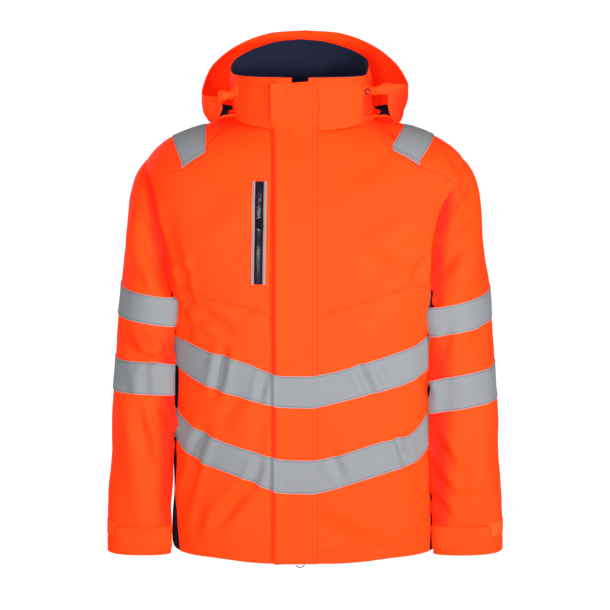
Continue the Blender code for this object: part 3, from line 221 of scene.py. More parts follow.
FOLDS = {
    # from x, z, to x, z, half width, depth, height of the ridges beside it
    "front": (
        (-128, -352, -144, -430, 8, -4.5, 2.2), (-62, -386, -74, -440, 7, -2.4, 1.2),
        (-104, -428, -136, -478, 12, -2.0, 1.4), (-161, -486, -182, -545, 9, -4.0, 2.2),
        (-70, -532, -90, -585, 8, -2.4, 1.4), (-174, -540, -196, -610, 7, -4.0, 2.0),
        (-92, -580, -142, -642, 10, -3.4, 2.4), (-166, -618, -178, -660, 8, -2.2, 1.2),
        (-60, -455, -84, -520, 11, -1.6, 1.2), (84, -376, 108, -430, 7, -3.2, 1.6),
        (116, -378, 134, -416, 6, -1.6, 0.9), (146, -492, 166, -548, 7, -4.0, 2.2),
        (170, -548, 196, -590, 9, -2.0, 1.2), (40, -520, 62, -566, 8, -2.2, 1.2),
        (26, -600, 150, -668, 18, 2.4, -1.6), (190, -404, 204, -440, 6, -2.6, 1.4),
        (-208, -196, -192, -262, 7, -4.0, 2.2), (-196, -262, -182, -286, 6, -3.2, 1.6),
        (-214, -232, -186, -214, 7, 2.6, -1.6), (-196, -300, -186, -345, 7, -3.4, 2.0),
        (-170, -290, -110, -336, 10, -1.8, 1.2), (112, -210, 162, -236, 12, -2.0, 1.4),
        (176, -250, 196, -206, 9, -2.6, 1.6), (-66, -130, -140, -96, 22, 1.8, -1.0),
        (60, -120, 150, -92, 24, 1.8, -1.0), (-110, -300, -64, -272, 9, -1.2, 0.8),
        (-296, -335, -272, -372, 8, -4.0, 2.0), (-272, -370, -238, -380, 8, -4.5, 2.4),
        (-240, -380, -216, -362, 8, -3.0, 1.4), (-248, -462, -214, -512, 8, -4.5, 2.6),
        (-270, -470, -252, -560, 10, -2.4, 1.4), (-236, -560, -222, -640, 10, -3.4, 1.6),
        (-300, -400, -286, -436, 9, -2.0, 1.2), (-256, -398, -262, -440, 8, -1.8, 1.0),
        (-262, -150, -246, -212, 14, -2.6, 1.6), (-270, -236, -258, -262, 8, -1.8, 1.0),
        (-268, -54, -232, -62, 9, -1.8, 1.2), (286, -330, 262, -362, 6, -3.2, 1.8),
        (294, -326, 276, -360, 6, -2.6, 1.6), (234, -330, 222, -372, 8, -2.6, 1.2),
        (212, -512, 243, -556, 8, -5.0, 2.8), (210, -570, 241, -604, 8, -4.4, 2.4),
        (214, -612, 234, -638, 7, -3.8, 2.0), (248, -590, 282, -582, 11, 2.2, -1.6),
        (282, -584, 296, -600, 9, -1.8, 1.0), (230, -38, 258, -80, 8, -3.8, 2.4),
        (258, -80, 260, -112, 7, -3.0, 1.8), (240, -66, 236, -92, 6, -1.8, 1.2),
        (280, -128, 236, -178, 10, -2.8, 2.0), (244, -200, 216, -238, 10, -2.2, 1.6),
        (-222, -130, -220, -250, 13, -2.4, 0.0), (-226, -330, -230, -650, 13, -2.0, 0.0),
        (224, -110, 220, -240, 14, -3.0, 0.0), (-213, -262, -213, -292, 11, 1.2, 0.0),
        (-213, -308, -213, -346, 10, 1.6, 0.0), (208, -246, 208, -292, 13, 3.4, 0.0),
        (226, -345, 230, -650, 14, -2.4, 0.0), (-54, 70, -54, -700, 4, -1.6, 0.0),
        (-292, -120, -256, -40, 16, -3.0, 0.0), (-286, -170, -250, -262, 15, 2.4, -1.2),
        (-300, -430, -266, -640, 16, 2.2, -1.6), (-250, -420, -232, -520, 10, -2.2, 1.0),
        (292, -130, 262, -50, 16, -3.0, 0.0), (292, -170, 250, -262, 16, 2.4, -1.4),
        (306, -440, 276, -640, 16, 2.0, -1.6), (-206, -330, -150, -300, 9, -1.8, 1.0),
        (206, -350, 150, -322, 10, -1.6, 1.0), (-150, -180, -90, -120, 20, 1.6, -1.0),
        (90, -200, 170, -150, 20, 1.8, -1.0),
    ),
    "back": (
        (-190, -210, -96, -320, 13, -4.5, 2.6), (190, -205, 104, -330, 13, -4.5, 2.6),
        (-204, -300, -130, -392, 11, -3.2, 2.0), (206, -292, 140, -402, 11, -3.2, 2.0),
        (-96, -386, -36, -470, 14, 2.6, -1.8), (86, -402, 44, -500, 14, 2.6, -1.8),
        (-150, -560, -60, -640, 12, -2.4, 1.8), (150, -548, 70, -652, 12, -2.4, 1.8),
        (-20, -130, 30, -240, 20, -1.8, 1.4), (-306, -380, -246, -416, 10, -4.6, 2.6),
        (-300, -430, -240, -452, 9, -3.4, 2.0), (304, -392, 246, -434, 10, -4.6, 2.6),
        (300, -446, 240, -470, 9, -3.4, 2.0), (-300, -520, -250, -560, 11, -2.8, 1.8),
        (300, -530, 250, -575, 11, -2.8, 1.8), (-262, -120, -230, -190, 12, -2.8, 1.8),
        (262, -120, 232, -195, 12, -2.8, 1.8),
    ),
}
FOLD_DEPTH = 2.0                    # all folds are this much deeper than the table's sizes
FOLD_MIDDLE_Y, FOLD_SIDE_DEPTH, FOLD_SIDE_SOFTNESS = 10, 26.0, 9.0    # how a fold fades to the sides
RIDGE_AT, RIDGE_WIDTH = 1.8, 0.9    # the ridge beside a fold, in the fold's half widths
WAVES = (
    # wavelength, direction in degrees, phase, height: the cloth's slow unevenness
    (150, 62, 0.4, 0.7),
    (97, 128, 1.9, 0.5),
    (61, 35, 3.1, 0.22),
    (43, 100, 0.9, 0.14),
)
WAVE_SLANT = 0.6                    # how far the waves follow the cloth's depth
SEAM_ROWS = (0.22, 0.5)             # where the extra rows beside a seam lie, in grid cells
SEAM_SINK, SEAM_WIDTH = 1.1, 2.3    # how deep and how wide the cloth is drawn in at a seam
SHELL_WALL = 2.0
HEM_Z, HEM_PUCKERS = -704, ((-155, 26, 1.6), (178, 22, 1.8), (40, 60, 0.35))   # x, half width, height
PUCKER_WAVE, PUCKER_RISE = 8.5, 16.0


def smooth(values, place):
    """Reads a table at places between its rows by the Catmull-Rom cubic through four rows."""
    values = np.asarray(values, float)
    last = len(values) - 1
    place = np.clip(np.asarray(place, float), 0, last)
    i = np.minimum(place.astype(int), last - 1)
    t = (place - i)[..., None]
    a, b = values[i], values[i + 1]
    before = np.where((i > 0)[..., None], values[np.maximum(i - 1, 0)], 2 * a - b)
    after = np.where((i < last - 1)[..., None], values[np.minimum(i + 2, last)], 2 * b - a)
    bend = 2 * before - 5 * a + 4 * b - after
    twist = 3 * a - before - 3 * b + after
    return 0.5 * (2 * a + (b - before) * t + bend * t ** 2 + twist * t ** 3)


def torso(phi, level):
    """Rounded oblong sections: sine and cosine of phi over the sum of their powers, by squareness."""
    side_x, side_z, front_y, front_z, back_y, back_z, square = np.moveaxis(
        smooth(TORSO_LEVELS, level), -1, 0)
    s, c = np.sin(np.radians(phi)), np.cos(np.radians(phi))
    reach = (abs(s) ** square + abs(c) ** square) ** (1 / square)
    x = side_x * s / reach
    y = np.where(c > 0, front_y, back_y) * abs(c) / reach
    z = side_z + (np.where(c > 0, front_z, back_z) - side_z) * (c / reach) ** 2
    return np.stack([x, y, z], -1)


def unit(vectors):
    """Vectors over their own lengths."""
    return vectors / np.maximum(np.linalg.norm(vectors, axis=-1, keepdims=True), 1e-9)


def torso_normals(grid):
    """The cross product of a small step round the torso and a small step up it."""
    phi, level = grid[..., 0], np.clip(grid[..., 1], 0.05, NECK_LEVEL - 0.05)
    round_it = torso(phi + 0.5, level) - torso(phi - 0.5, level)
    up_it = torso(phi, level + 0.05) - torso(phi, level - 0.05)
    return unit(np.cross(round_it, up_it))


ANGLE_STEPS, LEVEL_HALVINGS = 24, 20


def find(x, z, back=False):
    """Angle and level of the torso seen at x, z: the level by halving, the angle by damped steps."""
    x, z = np.broadcast_arrays(np.asarray(x, float), np.asarray(z, float))
    phi, level = np.full(x.shape, 45.0), np.zeros(x.shape)
    for _ in range(ANGLE_STEPS):
        turned = 180 - phi if back else phi
        low, high = np.zeros(x.shape), np.full(x.shape, float(NECK_LEVEL))
        for _ in range(LEVEL_HALVINGS):
            level = (low + high) / 2
            under = torso(turned, level)[..., 2] < z
            low, high = np.where(under, level, low), np.where(under, high, level)
        table = smooth(TORSO_LEVELS, level)
        square = table[..., 6]
        share = np.minimum(abs(x) / table[..., 0], 0.99999)
        wanted = np.degrees(np.arctan2(share, (1 - share ** square) ** (1 / square)))
        phi = 0.4 * phi + 0.6 * wanted
    phi = 180 - phi if back else phi
    return np.stack([np.where(x < 0, 360 - phi, phi), level], -1)


def curve(stations, values, place):
    """A smooth reading of values given at uneven stations."""
    number = np.interp(place, stations, np.arange(len(stations)))
    return smooth(np.array(values, float)[:, None], number)[..., 0]


def lower_front(side):
    """Rows between the table's lines, columns from the zip out to the side seam, as angle and level."""
    heights, outs = np.array(SIDE_SEAM[side], float).T
    names = list(FRONT_LINES[side])
    rows = [(names[pair], names[pair + 1], step / (rows_here * FINE))
            for pair, rows_here in enumerate(ROWS_BETWEEN_LINES) for step in range(rows_here * FINE)]
    rows.append((names[-1], names[-1], 0.0))
    grid = []
    for below, above, share in rows:
        lines = [FRONT_LINES[side][name] for name in (below, above)]
        seam_x = curve(heights, outs, (1 - share) * lines[0][-1] + share * lines[1][-1])
        x = np.concatenate([np.linspace(FRONT_EDGE_X[side], FLAP_EDGE_X[side], STRIP_COLUMNS)[:-1],
                            np.linspace(FLAP_EDGE_X[side], seam_x, PANEL_COLUMNS * FINE + 1)])
        reach = np.where(x > 100, 100 + (x - 100) * (LINE_STATIONS[-1] - 100) / (seam_x - 100), x)
        z = ((1 - share) * curve(LINE_STATIONS, lines[0], reach)
             + share * curve(LINE_STATIONS, lines[1], reach))
        grid.append(np.stack([SIGN[side] * x, z], -1))
    grid = np.array(grid)
    return find(grid[..., 0], grid[..., 1])


def edge_rows(grid):
    """The grid with two more rows and columns close to each edge, for the seams."""
    for _ in range(2):
        near, next_in, last_in, far = grid[:1], grid[1:2], grid[-2:-1], grid[-1:]
        first = [near + (next_in - near) * share for share in SEAM_ROWS]
        last = [far + (last_in - far) * share for share in SEAM_ROWS[::-1]]
        grid = np.concatenate([near, *first, grid[1:-1], *last, far])
        grid = np.swapaxes(grid, 0, 1)
    return grid


def by_line(points, line, half_width):
    """Seen from the front: how far along a line, in its half lengths, and across, in half widths."""
    x1, z1, x2, z2 = line
    half = math.hypot(x2 - x1, z2 - z1) / 2
    c, s = (x2 - x1) / (2 * half), (z2 - z1) / (2 * half)
    dx, dz = points[..., 0] - (x1 + x2) / 2, points[..., 2] - (z1 + z2) / 2
    return (dx * c + dz * s) / half, (dz * c - dx * s) / half_width


def fold_height(points):
    """Sum of the folds, each a bell across its line with a ridge beside it, and of the slow waves."""
    total = np.zeros(points.shape[:-1])
    x, y, z = points[..., 0], points[..., 1], points[..., 2]
    for side, sign in (("front", -1), ("back", 1)):
        shown = 1 / (1 + np.exp((FOLD_SIDE_DEPTH - sign * (y + FOLD_MIDDLE_Y)) / FOLD_SIDE_SOFTNESS))
        for *line, half_width, depth, ridge in FOLDS[side]:
            run, across = by_line(points, line, half_width)
            beside = np.exp(-((abs(across) - RIDGE_AT) / RIDGE_WIDTH) ** 2)
            shape = depth * np.exp(-across ** 2) + ridge * beside
            total += FOLD_DEPTH * shown * shape * np.exp(-np.abs(run) ** 3)
    for length, way, phase, height in WAVES:
        c, s = math.cos(math.radians(way)), math.sin(math.radians(way))
        total += height * np.sin(2 * math.pi * (x * c + z * s + WAVE_SLANT * y) / length + phase)
    return total


# Painted shade: along these lines the cloth's colour is darkened towards its shade tint. This stands for
# the shadow in creases, beside loose edges and on the sleeves' inner sides.
PAINTED_SHADE_LINES = (
    # piece, x and z of both ends on the front, half width, how dark the painted shade is: 1 is as if out
    # of all straight light
    ("sleeve", -253, -62, -220, -270, 13, 0.95), ("sleeve", -219, -330, -223, -690, 16, 0.9),
    ("sleeve", 229, -96, 213, -190, 15, 1.0), ("sleeve", 213, -176, 210, -286, 16, 1.0),
    ("sleeve", 215, -336, 220, -690, 18, 1.0),
    ("collar", -53, 76, -53, 18, 5.0, 0.9), ("shell", -49.5, 30, -49.5, -700, 1.8, 1.0),
    ("collar", 101, 4, 101, 70, 9, 0.7), ("collar", -119, -4, -119, 66, 6, 0.8),
    ("hood", 152, -6, 160, 58, 20, 0.75), ("hood", -147, -6, -140, 40, 10, 0.5),
    ("hood", 144, 104, 149, 76, 1.7, 0.8), ("hood", 151, 98, 153, 76, 1.5, 0.8),
    ("sleeve", -266, -330, -262, -360, 30, 0.25), ("sleeve", -290, -60, -316, -300, 16, 0.35),
    ("yoke", -150, -16, -96, 2, 7, 0.45), ("yoke", 118, -6, 150, -22, 7, 0.45),
)
SHADE_PAINT_BACK_Y, SHADE_PAINT_SOFTNESS = 30, 12     # behind this depth the painted shade has faded away


def shade_to_paint(points, name):
    """How much painted shade a point of the front takes: a bell across each of its lines."""
    total = np.zeros(points.shape[:-1])
    for piece, *line, half_width, deep in PAINTED_SHADE_LINES:
        if piece in name:
            run, across = by_line(points, line, half_width)
            total = np.maximum(total, deep * np.exp(-abs(across) ** 3 - run ** 6))
    return total / (1 + np.exp((points[..., 1] - SHADE_PAINT_BACK_Y) / SHADE_PAINT_SOFTNESS))


def pucker_height(points):
    """Short waves along the gathered hem, a bell round each place of it and over the height."""
    x, z = points[..., 0], points[..., 2]
    total = np.zeros(x.shape)
    for middle, half_width, height in HEM_PUCKERS:
        total += height * np.exp(-((x - middle) / half_width) ** 2)
    over = z - HEM_Z
    wave = np.sin(2 * math.pi * (x + 0.35 * over) / PUCKER_WAVE)
    return total * (wave * np.exp(-((over - 6) / PUCKER_RISE) ** 2))


def run_from(points, edge):
    """Length over the cloth from one edge of a grid: bottom, top, start or end."""
    axis = 0 if edge in ("bottom", "top") else 1
    steps = np.linalg.norm(np.diff(points, axis=axis), axis=-1)
    length = np.concatenate([np.zeros_like(np.take(steps, [0], axis)), np.cumsum(steps, axis)], axis)
    if edge in ("top", "end"):
        length = np.take(length, [-1], axis) - length
    return length


def sewn(points, normals, edges):
    """Draws the cloth in at its seams: a bell of the length from each sewn edge."""
    sink = np.zeros(points.shape[:-1])
    for edge in edges:
        sink = np.maximum(sink, np.exp(-(run_from(points, edge) / SEAM_WIDTH) ** 2))
    return points - normals * (SEAM_SINK * sink)[..., None]


def torso_sheet(grid, edges=("bottom", "top", "start", "end"), hem=False):
    """Points and normals of a torso panel's grid, with its folds, puckers and seams."""
    grid = edge_rows(grid)
    points, normals = torso(grid[..., 0], grid[..., 1]), torso_normals(grid)
    height = fold_height(points)
    if hem:
        height = height + pucker_height(points)
    return sewn(points + normals * height[..., None], normals, edges), normals


def join_sheets(sheets):
    """Grids as one run of points, normals, lengths over the cloth, and quads turned outwards."""
    points, normals, uv, quads, start = [], [], [], [], 0
    for sheet_points, sheet_normals in sheets:
        rows, columns = sheet_points.shape[:2]
        number = start + np.arange(rows * columns).reshape(rows, columns)
        quad = np.stack([number[:-1, :-1], number[:-1, 1:], number[1:, 1:], number[1:, :-1]],
                        -1).reshape(-1, 4)
        flat = np.cross(sheet_points[1:, 1:] - sheet_points[:-1, :-1],
                        sheet_points[1:, :-1] - sheet_points[:-1, 1:])
        if (flat * sheet_normals[:-1, :-1]).sum() < 0:
            quad = quad[:, ::-1]
        points.append(sheet_points.reshape(-1, 3))
        normals.append(sheet_normals.reshape(-1, 3))
        uv.append(np.stack([run_from(sheet_points, "start"), run_from(sheet_points, "bottom")],
                           -1).reshape(-1, 2))
        quads.append(quad)
        start += rows * columns
    return (np.concatenate(part) for part in (points, normals, uv, quads))


def stands_for(node):
    """Hides the frame's own solid that a piece stands in for."""
    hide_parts(node)


CLOTH_CREASE = 55                   # degrees past which an edge of cloth is sharp


def cloth(name, sheets, thick, finish, node, lift=0.0, **cut):
    """A closed shell: the grids' points moved out by lift, again at thick below, and joined round the
    free edges."""
    points, normals, uv, quads = join_sheets(sheets)
    first, same = np.unique(np.round(points, 2), axis=0, return_index=True, return_inverse=True)[1:]
    same, total = same.ravel(), len(first)
    ends = np.concatenate([np.stack([quads[:, k], quads[:, (k + 1) % 4]], 1) for k in range(4)])
    joined = same[ends]
    free = ~np.isin(joined[:, 0] * total + joined[:, 1], joined[:, 1] * total + joined[:, 0])
    free &= joined[:, 0] != joined[:, 1]
    ends, (a, b) = ends[free], joined[free].T
    outer = points[first] + normals[first] * lift
    shell = np.concatenate([outer, outer - normals[first] * thick])
    faces = same[quads]
    faces = np.concatenate([faces, faces[:, ::-1] + total, np.stack([b, a, a + total, b + total], 1)])
    corners = np.concatenate([quads.ravel(), quads[:, ::-1].ravel(), ends[:, [1, 0, 0, 1]].ravel()])
    mesh = new_mesh(name, shell, faces.tolist())
    # painted shade: each point's darkening from the painted shade lines, stored for the material
    shade_paint_layer = mesh.attributes.new("painted_shade", "FLOAT", "POINT")
    shade_paint_layer.data.foreach_set("value", np.tile(shade_to_paint(points[first], name), 2).astype(np.float32))
    layer = mesh.uv_layers.new(name="cloth")
    layer.data.foreach_set("uv", (uv[corners] * MM).astype(np.float32).ravel())
    mesh.validate()
    material, slot = finish
    piece = put_in_scene(mesh, material, "jacket", CLOTH_CREASE)
    stands_for(node)


def weave_group():
    """Two crossed sets of threads as height, and slow blotches as a shade near one."""
    group = bpy.data.node_groups.new("woven cloth", "ShaderNodeTree")
    group.interface.new_socket("Vector", in_out="INPUT", socket_type="NodeSocketVector")
    for socket in ("Height", "Shade"):
        group.interface.new_socket(socket, in_out="OUTPUT", socket_type="NodeSocketFloat")
    at = group.nodes.new("NodeGroupInput").outputs["Vector"]
    made = group.nodes.new("NodeGroupOutput")
    bands = [add_node(group, "TexWave", {"Vector": at, "Scale": scale, "Distortion": 0.6, "Detail": 1.0},
                      bands_direction=way).outputs["Fac"] for way, scale in (("X", 260.0), ("Y", 330.0))]
    threads = add_node(group, "Math", dict(enumerate(bands)), operation="MAXIMUM").outputs["Value"]
    grain = add_node(group, "TexNoise", {"Vector": at, "Scale": 420.0}).outputs["Fac"]
    height = add_node(group, "Math", {0: grain, 1: 0.5, 2: threads}, operation="MULTIPLY_ADD")
    blotch = add_node(group, "TexNoise", {"Vector": at, "Scale": 22.0, "Detail": 4.0}).outputs["Fac"]
    fade = add_node(group, "MapRange", {"Value": blotch, "To Min": 0.90, "To Max": 1.0})
    shade = add_node(group, "Math", {0: threads, 1: 0.10, 2: fade.outputs["Result"]},
                     operation="MULTIPLY_ADD")
    group.links.new(height.outputs["Value"], made.inputs["Height"])
    group.links.new(shade.outputs["Value"], made.inputs["Shade"])
    return group


WEAVE = weave_group()
WEAVE_DEPTH = 0.0003                # metres
SHADE_PAINT_TINT = (0.95, 0.14, 0.6)       # what the painted shade leaves of the cloth's red, green and blue


def cloth_material(name, slot, colour, roughness, bump=0.25, glow=None, takes_shade_paint=False, sheen=0.0,
                   scale=1.0):
    """Principled cloth and its slot: its colour times the weave's shade, with the weave as a bump.
    One that takes painted shade is mixed towards its shade tint by the painted_shade attribute."""
    made = plain_material(name, colour, roughness)
    tree = made.node_tree
    shader = tree.nodes["Principled BSDF"]
    shader.inputs["Sheen Weight"].default_value = sheen
    shader.inputs["Specular IOR Level"].default_value = 0.12
    lengths = add_node(tree, "UVMap", {}, uv_map="cloth").outputs["UV"]
    mapped = add_node(tree, "Mapping", {"Vector": lengths, "Scale": (scale, scale, scale)})
    weave = add_node(tree, "Group", {}, node_tree=WEAVE)
    tree.links.new(mapped.outputs["Vector"], weave.inputs["Vector"])
    base = colour
    # painted shade: the attribute mixes the cloth's colour towards a darker tint
    if takes_shade_paint:
        deep = add_node(tree, "Attribute", {}, attribute_name="painted_shade").outputs["Fac"]
        darker = (*(np.array(colour) * SHADE_PAINT_TINT), 1)
        base = add_node(tree, "Mix", {0: deep, 6: (*colour, 1), 7: darker}, data_type="RGBA").outputs[2]
    tint = add_node(tree, "VectorMath", {0: base, "Scale": weave.outputs["Shade"]}, operation="SCALE")
    tree.links.new(tint.outputs["Vector"], shader.inputs["Base Color"])
    relief = add_node(tree, "Bump", {"Strength": bump, "Distance": WEAVE_DEPTH,
                                     "Height": weave.outputs["Height"]})
    tree.links.new(relief.outputs["Normal"], shader.inputs["Normal"])
    if glow:
        seen_glow(made, *glow)
    return made, slot


ORANGE_GLOW = ((1.0, 0.012, 0.002), 0.8)
ORANGE = cloth_material("orange shell cloth", "orange_cloth", (0.95, 0.072, 0.0055), 0.7,
                        glow=ORANGE_GLOW, takes_shade_paint=True)
THREAD = plain_material("orange thread", (0.55, 0.014, 0.003), 0.8)


def line_beside(sheet, edge, distance, part=(0.0, 1.0)):
    """The line on a sheet that keeps one distance from an edge, with the cloth's normals on it."""
    points, normals = sheet
    if edge in ("start", "end"):
        points, normals = np.swapaxes(points, 0, 1), np.swapaxes(normals, 0, 1)
    if edge in ("top", "end"):
        points, normals = points[::-1], normals[::-1]
    length = run_from(points, "bottom")
    row = np.clip((length <= distance).sum(0) - 1, 0, len(points) - 2)[None, :, None]
    below, above = (np.take_along_axis(length[..., None], row + k, 0)[0] for k in (0, 1))
    share = np.clip((distance - below) / np.maximum(above - below, 1e-6), 0, 1)
    p, n = ((1 - share) * np.take_along_axis(grid, row, 0)[0]
            + share * np.take_along_axis(grid, row + 1, 0)[0] for grid in (points, normals))
    cut = slice(int(part[0] * (len(p) - 1)), int(part[1] * (len(p) - 1)) + 1)
    return p[cut], n[cut]


def length_along(points):
    """Length from the first of a line of points to each of them."""
    return np.concatenate([[0], np.cumsum(np.linalg.norm(np.diff(points, axis=0), axis=1))])


def read_line(values, at, wanted):
    """A line's values read linearly at lengths along it."""
    return np.stack([np.interp(wanted, at, values[:, k]) for k in range(values.shape[1])], 1)


PRISM_FACES = ((4, 5, 6, 7), (0, 1, 5, 4), (1, 2, 6, 5), (2, 3, 7, 6), (3, 0, 4, 7), (3, 2, 1, 0))
STITCH_SUNK, STITCH_HIGH = 0.15, 0.3


def prisms(name, corners, finish, pattern=PRISM_FACES):
    """One mesh of many bars, each with four corners below and the same four above."""
    faces = (np.arange(len(corners))[:, None, None] * 8 + np.array(pattern)).reshape(-1, 4)
    put_in_scene(new_mesh(name, corners, faces.tolist()), finish, "jacket", smooth=False)


def stitches(name, lines, finish, lift=0.0, pitch=3.3, length=2.5, width=0.8):
    """Short raised bars set end to end along lines, each narrower at the top and open below."""
    bars = []
    for points, normals in lines:
        at = length_along(points)
        near = np.arange(pitch / 2, at[-1] - length, pitch)
        if not len(near):
            continue
        ends = [read_line(points, at, near + more) for more in (0, length)]
        up = unit(read_line(normals, at, near))
        side = unit(np.cross(ends[1] - ends[0], up)) * width / 2
        box = np.stack([ends[0] - side, ends[0] + side, ends[1] + side, ends[1] - side], 1)
        top = (box + box.mean(1, keepdims=True) * 0.35) / 1.35
        bars.append(np.concatenate([box + up[:, None] * (lift - STITCH_SUNK),
                                    top + up[:, None] * (lift + STITCH_HIGH)], 1))
    prisms(name, np.concatenate(bars), finish, PRISM_FACES[:5])


HEM_STITCHING, TOPSTITCHING = 23, (2.2, 8.5)      # how far the lines lie from the hem and from a seam
lower = {side: lower_front(side) for side in SIGN}
front_sheets = {side: torso_sheet(lower[side], ("top", "start", "end"), hem=True) for side in SIGN}
for side in SIGN:
    cloth(f"shell_front_{side}", [front_sheets[side]], SHELL_WALL, ORANGE, f"front_{side}",
          flat=(0.25, 0.45), held="hung", rests_on=[f"chest_{side}"])
    stitches(f"stitching_front_{side}", [line_beside(front_sheets[side], "bottom", HEM_STITCHING)],
             THREAD)

# ---------------------------------------------------------------- chests and yoke
# The orange chests are sewn to the lower fronts along the V seam, with two rows of
# topstitching. The yoke goes over both shoulders in one piece to the back seam.
ARMHOLE_FRONT = {
    "right": ((215, -270), (219, -245), (223, -213), (229, -175), (237, -140), (245, -108), (251, -88)),
    "left": ((200, -262), (201, -235), (204, -200), (210, -165), (220, -135), (234, -110), (245, -96)),
}
ARMHOLE_ROWS = 7
SHOULDER_STATIONS = {
    "right": (
        # front_x, front_z, ridge_x, back_x, back_z
        (251, -88, 256, 251, -98),
        (199, -68, 209, 200, -103),
        (160, -42, 161, 150, -104),
        (105, -8, 115, 88, -104),
    ),
    "left": (
        (245, -96, 256, 251, -98),
        (185, -63, 206, 196, -103),
        (141, -38, 162, 148, -104),
        (92, -8, 115, 88, -104),
    ),
}
SHOULDER_COLUMNS, SHOULDER_ROWS, BACK_NECK_COLUMNS = 2, (2, 4), 12
YOKE_SEAM_Z = -104


def neck_angle(x):
    """Angle of the neck seam's front at a distance from the middle, by the oblong's own formula."""
    half_width, square = TORSO_LEVELS[NECK_LEVEL][0], TORSO_LEVELS[NECK_LEVEL][6]
    share = np.asarray(x, float) / half_width
    return np.degrees(np.arctan2(share, (1 - share ** square) ** (1 / square)))


def shoulder_block(side):
    """The yoke over one shoulder: a parabola of angle and level through front, ridge and back."""
    sign = SIGN[side]
    table = np.array(SHOULDER_STATIONS[side], float)
    half_widths = [-row[0] for row in TORSO_LEVELS[SHOULDER_TIP_LEVEL:]]
    ridge_level = np.interp(-table[:, 2], half_widths, np.arange(SHOULDER_TIP_LEVEL, NECK_LEVEL + 1))
    front = find(sign * table[:, 0], table[:, 1])
    back = find(sign * table[:, 3], table[:, 4], back=True)
    ridge = np.stack([np.full(len(table), 90.0 if sign > 0 else 270.0), ridge_level], -1)
    neck_phi = neck_angle(table[-1, 0])
    front[-1] = (neck_phi if sign > 0 else 360 - neck_phi, NECK_LEVEL)
    stations = np.stack([front, ridge, back], 1)
    place = np.linspace(0, len(table) - 1, (len(table) - 1) * SHOULDER_COLUMNS * FINE + 1)
    i = np.minimum(place.astype(int), len(table) - 2)
    share = (place - i)[:, None, None]
    stations = (1 - share) * stations[i] + share * stations[i + 1]
    before, behind = (rows * FINE for rows in SHOULDER_ROWS)
    turn = before / (before + behind)
    w = np.linspace(0, 1, before + behind + 1)[:, None, None]
    rows = ((w - turn) * (w - 1) / turn * stations[:, 0]
            + w * (w - 1) / (turn * (turn - 1)) * stations[:, 1]
            + w * (w - turn) / (1 - turn) * stations[:, 2])
    rows[:before + 1, -1, 1] = NECK_LEVEL
    return rows


def coons(bottom, top, start, end):
    """A grid between four edges: both ruled grids added, less the one through the corners."""
    v = np.linspace(0, 1, len(start))[:, None, None]
    u = np.linspace(0, 1, len(bottom))[None, :, None]
    across = (1 - v) * bottom[None] + v * top[None]
    up = (1 - u) * start[:, None] + u * end[:, None]
    corners = ((1 - v) * (1 - u) * bottom[0] + (1 - v) * u * bottom[-1]
               + v * (1 - u) * top[0] + v * u * top[-1])
    return across + up - corners


def along(points, count):
    """count + 1 points spread evenly along the smooth line through a few."""
    fine = smooth(points, np.linspace(0, len(points) - 1, 16 * len(points)))
    length = length_along(fine)
    return read_line(fine, length, np.linspace(0, length[-1], count + 1))


def upper_front(side, low, shoulder):
    """The chest between seam, neck, yoke and armhole: a grid as seen, then found on the torso."""
    sign = SIGN[side]
    neck_x = np.concatenate([
        np.linspace(FRONT_EDGE_X[side], FLAP_EDGE_X[side], STRIP_COLUMNS)[:-1],
        np.linspace(FLAP_EDGE_X[side], SHOULDER_STATIONS[side][-1][0], 2 * FINE + 1)])
    phi = neck_angle(neck_x)
    neck = np.stack([phi if sign > 0 else 360 - phi, np.full(len(phi), float(NECK_LEVEL))], -1)
    top = np.concatenate([neck[:-1], shoulder[0][::-1]])
    bottom = low[-1]
    armhole = along(ARMHOLE_FRONT[side], ARMHOLE_ROWS * FINE)
    end = find(sign * armhole[:, 0], armhole[:, 1])
    end[0], end[-1] = bottom[-1], top[-1]
    seen_bottom, seen_top, seen_end = (torso(e[:, 0], e[:, 1])[:, [0, 2]] for e in (bottom, top, end))
    v = np.linspace(0, 1, len(end))[:, None, None]
    strip = (1 - v) * seen_bottom[None, :STRIP_COLUMNS] + v * seen_top[None, :STRIP_COLUMNS]
    k = STRIP_COLUMNS - 1
    seen = coons(seen_bottom[k:], seen_top[k:], strip[:, k], seen_end)
    seen = np.concatenate([strip[:, :k], seen], 1)
    grid = find(seen[..., 0], seen[..., 1])
    grid[0], grid[-1], grid[:, -1] = bottom, top, end
    return grid


shoulder = {side: shoulder_block(side) for side in SIGN}
upper = {side: upper_front(side, lower[side], shoulder[side]) for side in SIGN}
SEAM_STRIP = (5.2, 3.8, 1.1)        # the topstitched allowance: middle from the seam, half width, height


def lifted(sheet, height):
    """A sheet moved out along its own normals by a height at each point."""
    points, normals = sheet
    return points + normals * height[..., None], normals


def chest_sheet(side):
    """A chest's sheet, thicker along the V seam where the allowance lies under the stitching."""
    sheet = torso_sheet(upper[side])
    middle, half_width, height = SEAM_STRIP
    return lifted(sheet, height * np.exp(-((run_from(sheet[0], "bottom") - middle) / half_width) ** 4))


chest_sheets = {side: chest_sheet(side) for side in SIGN}
for side in SIGN:
    cloth(f"shell_chest_{side}", [chest_sheets[side]], SHELL_WALL, ORANGE, f"chest_{side}",
          flat=(0.26, 0.30), area=0.060, held="hung", rests_on=["yoke"])
    stitches(f"stitching_chest_{side}",
             [line_beside(chest_sheets[side], "bottom", gap) for gap in TOPSTITCHING]
             + [line_beside(chest_sheets[side], "top", TOPSTITCHING[0], (0.35, 1.0))], THREAD)

# ---------------------------------------------------------------- side panels and back
# Navy side panels of the same cloth run under the arms from the hem to the armholes.
# The orange back is one piece from the hem to the yoke; plain seams join them all.
BACK_SEAM_X, WIDENS_FROM_Z, UNDERARM_Z = 206, -345, -288
DIP_CELLS, DIP_POWER = 1.6, 1.3     # how far down the underarm's dip reaches, and how fast it fades
SIDE_COLUMNS = 4
ARMHOLE_BACK = ((213, -272), (219, -245), (225, -212), (232, -175), (240, -142), (247, -115), (251, -98))


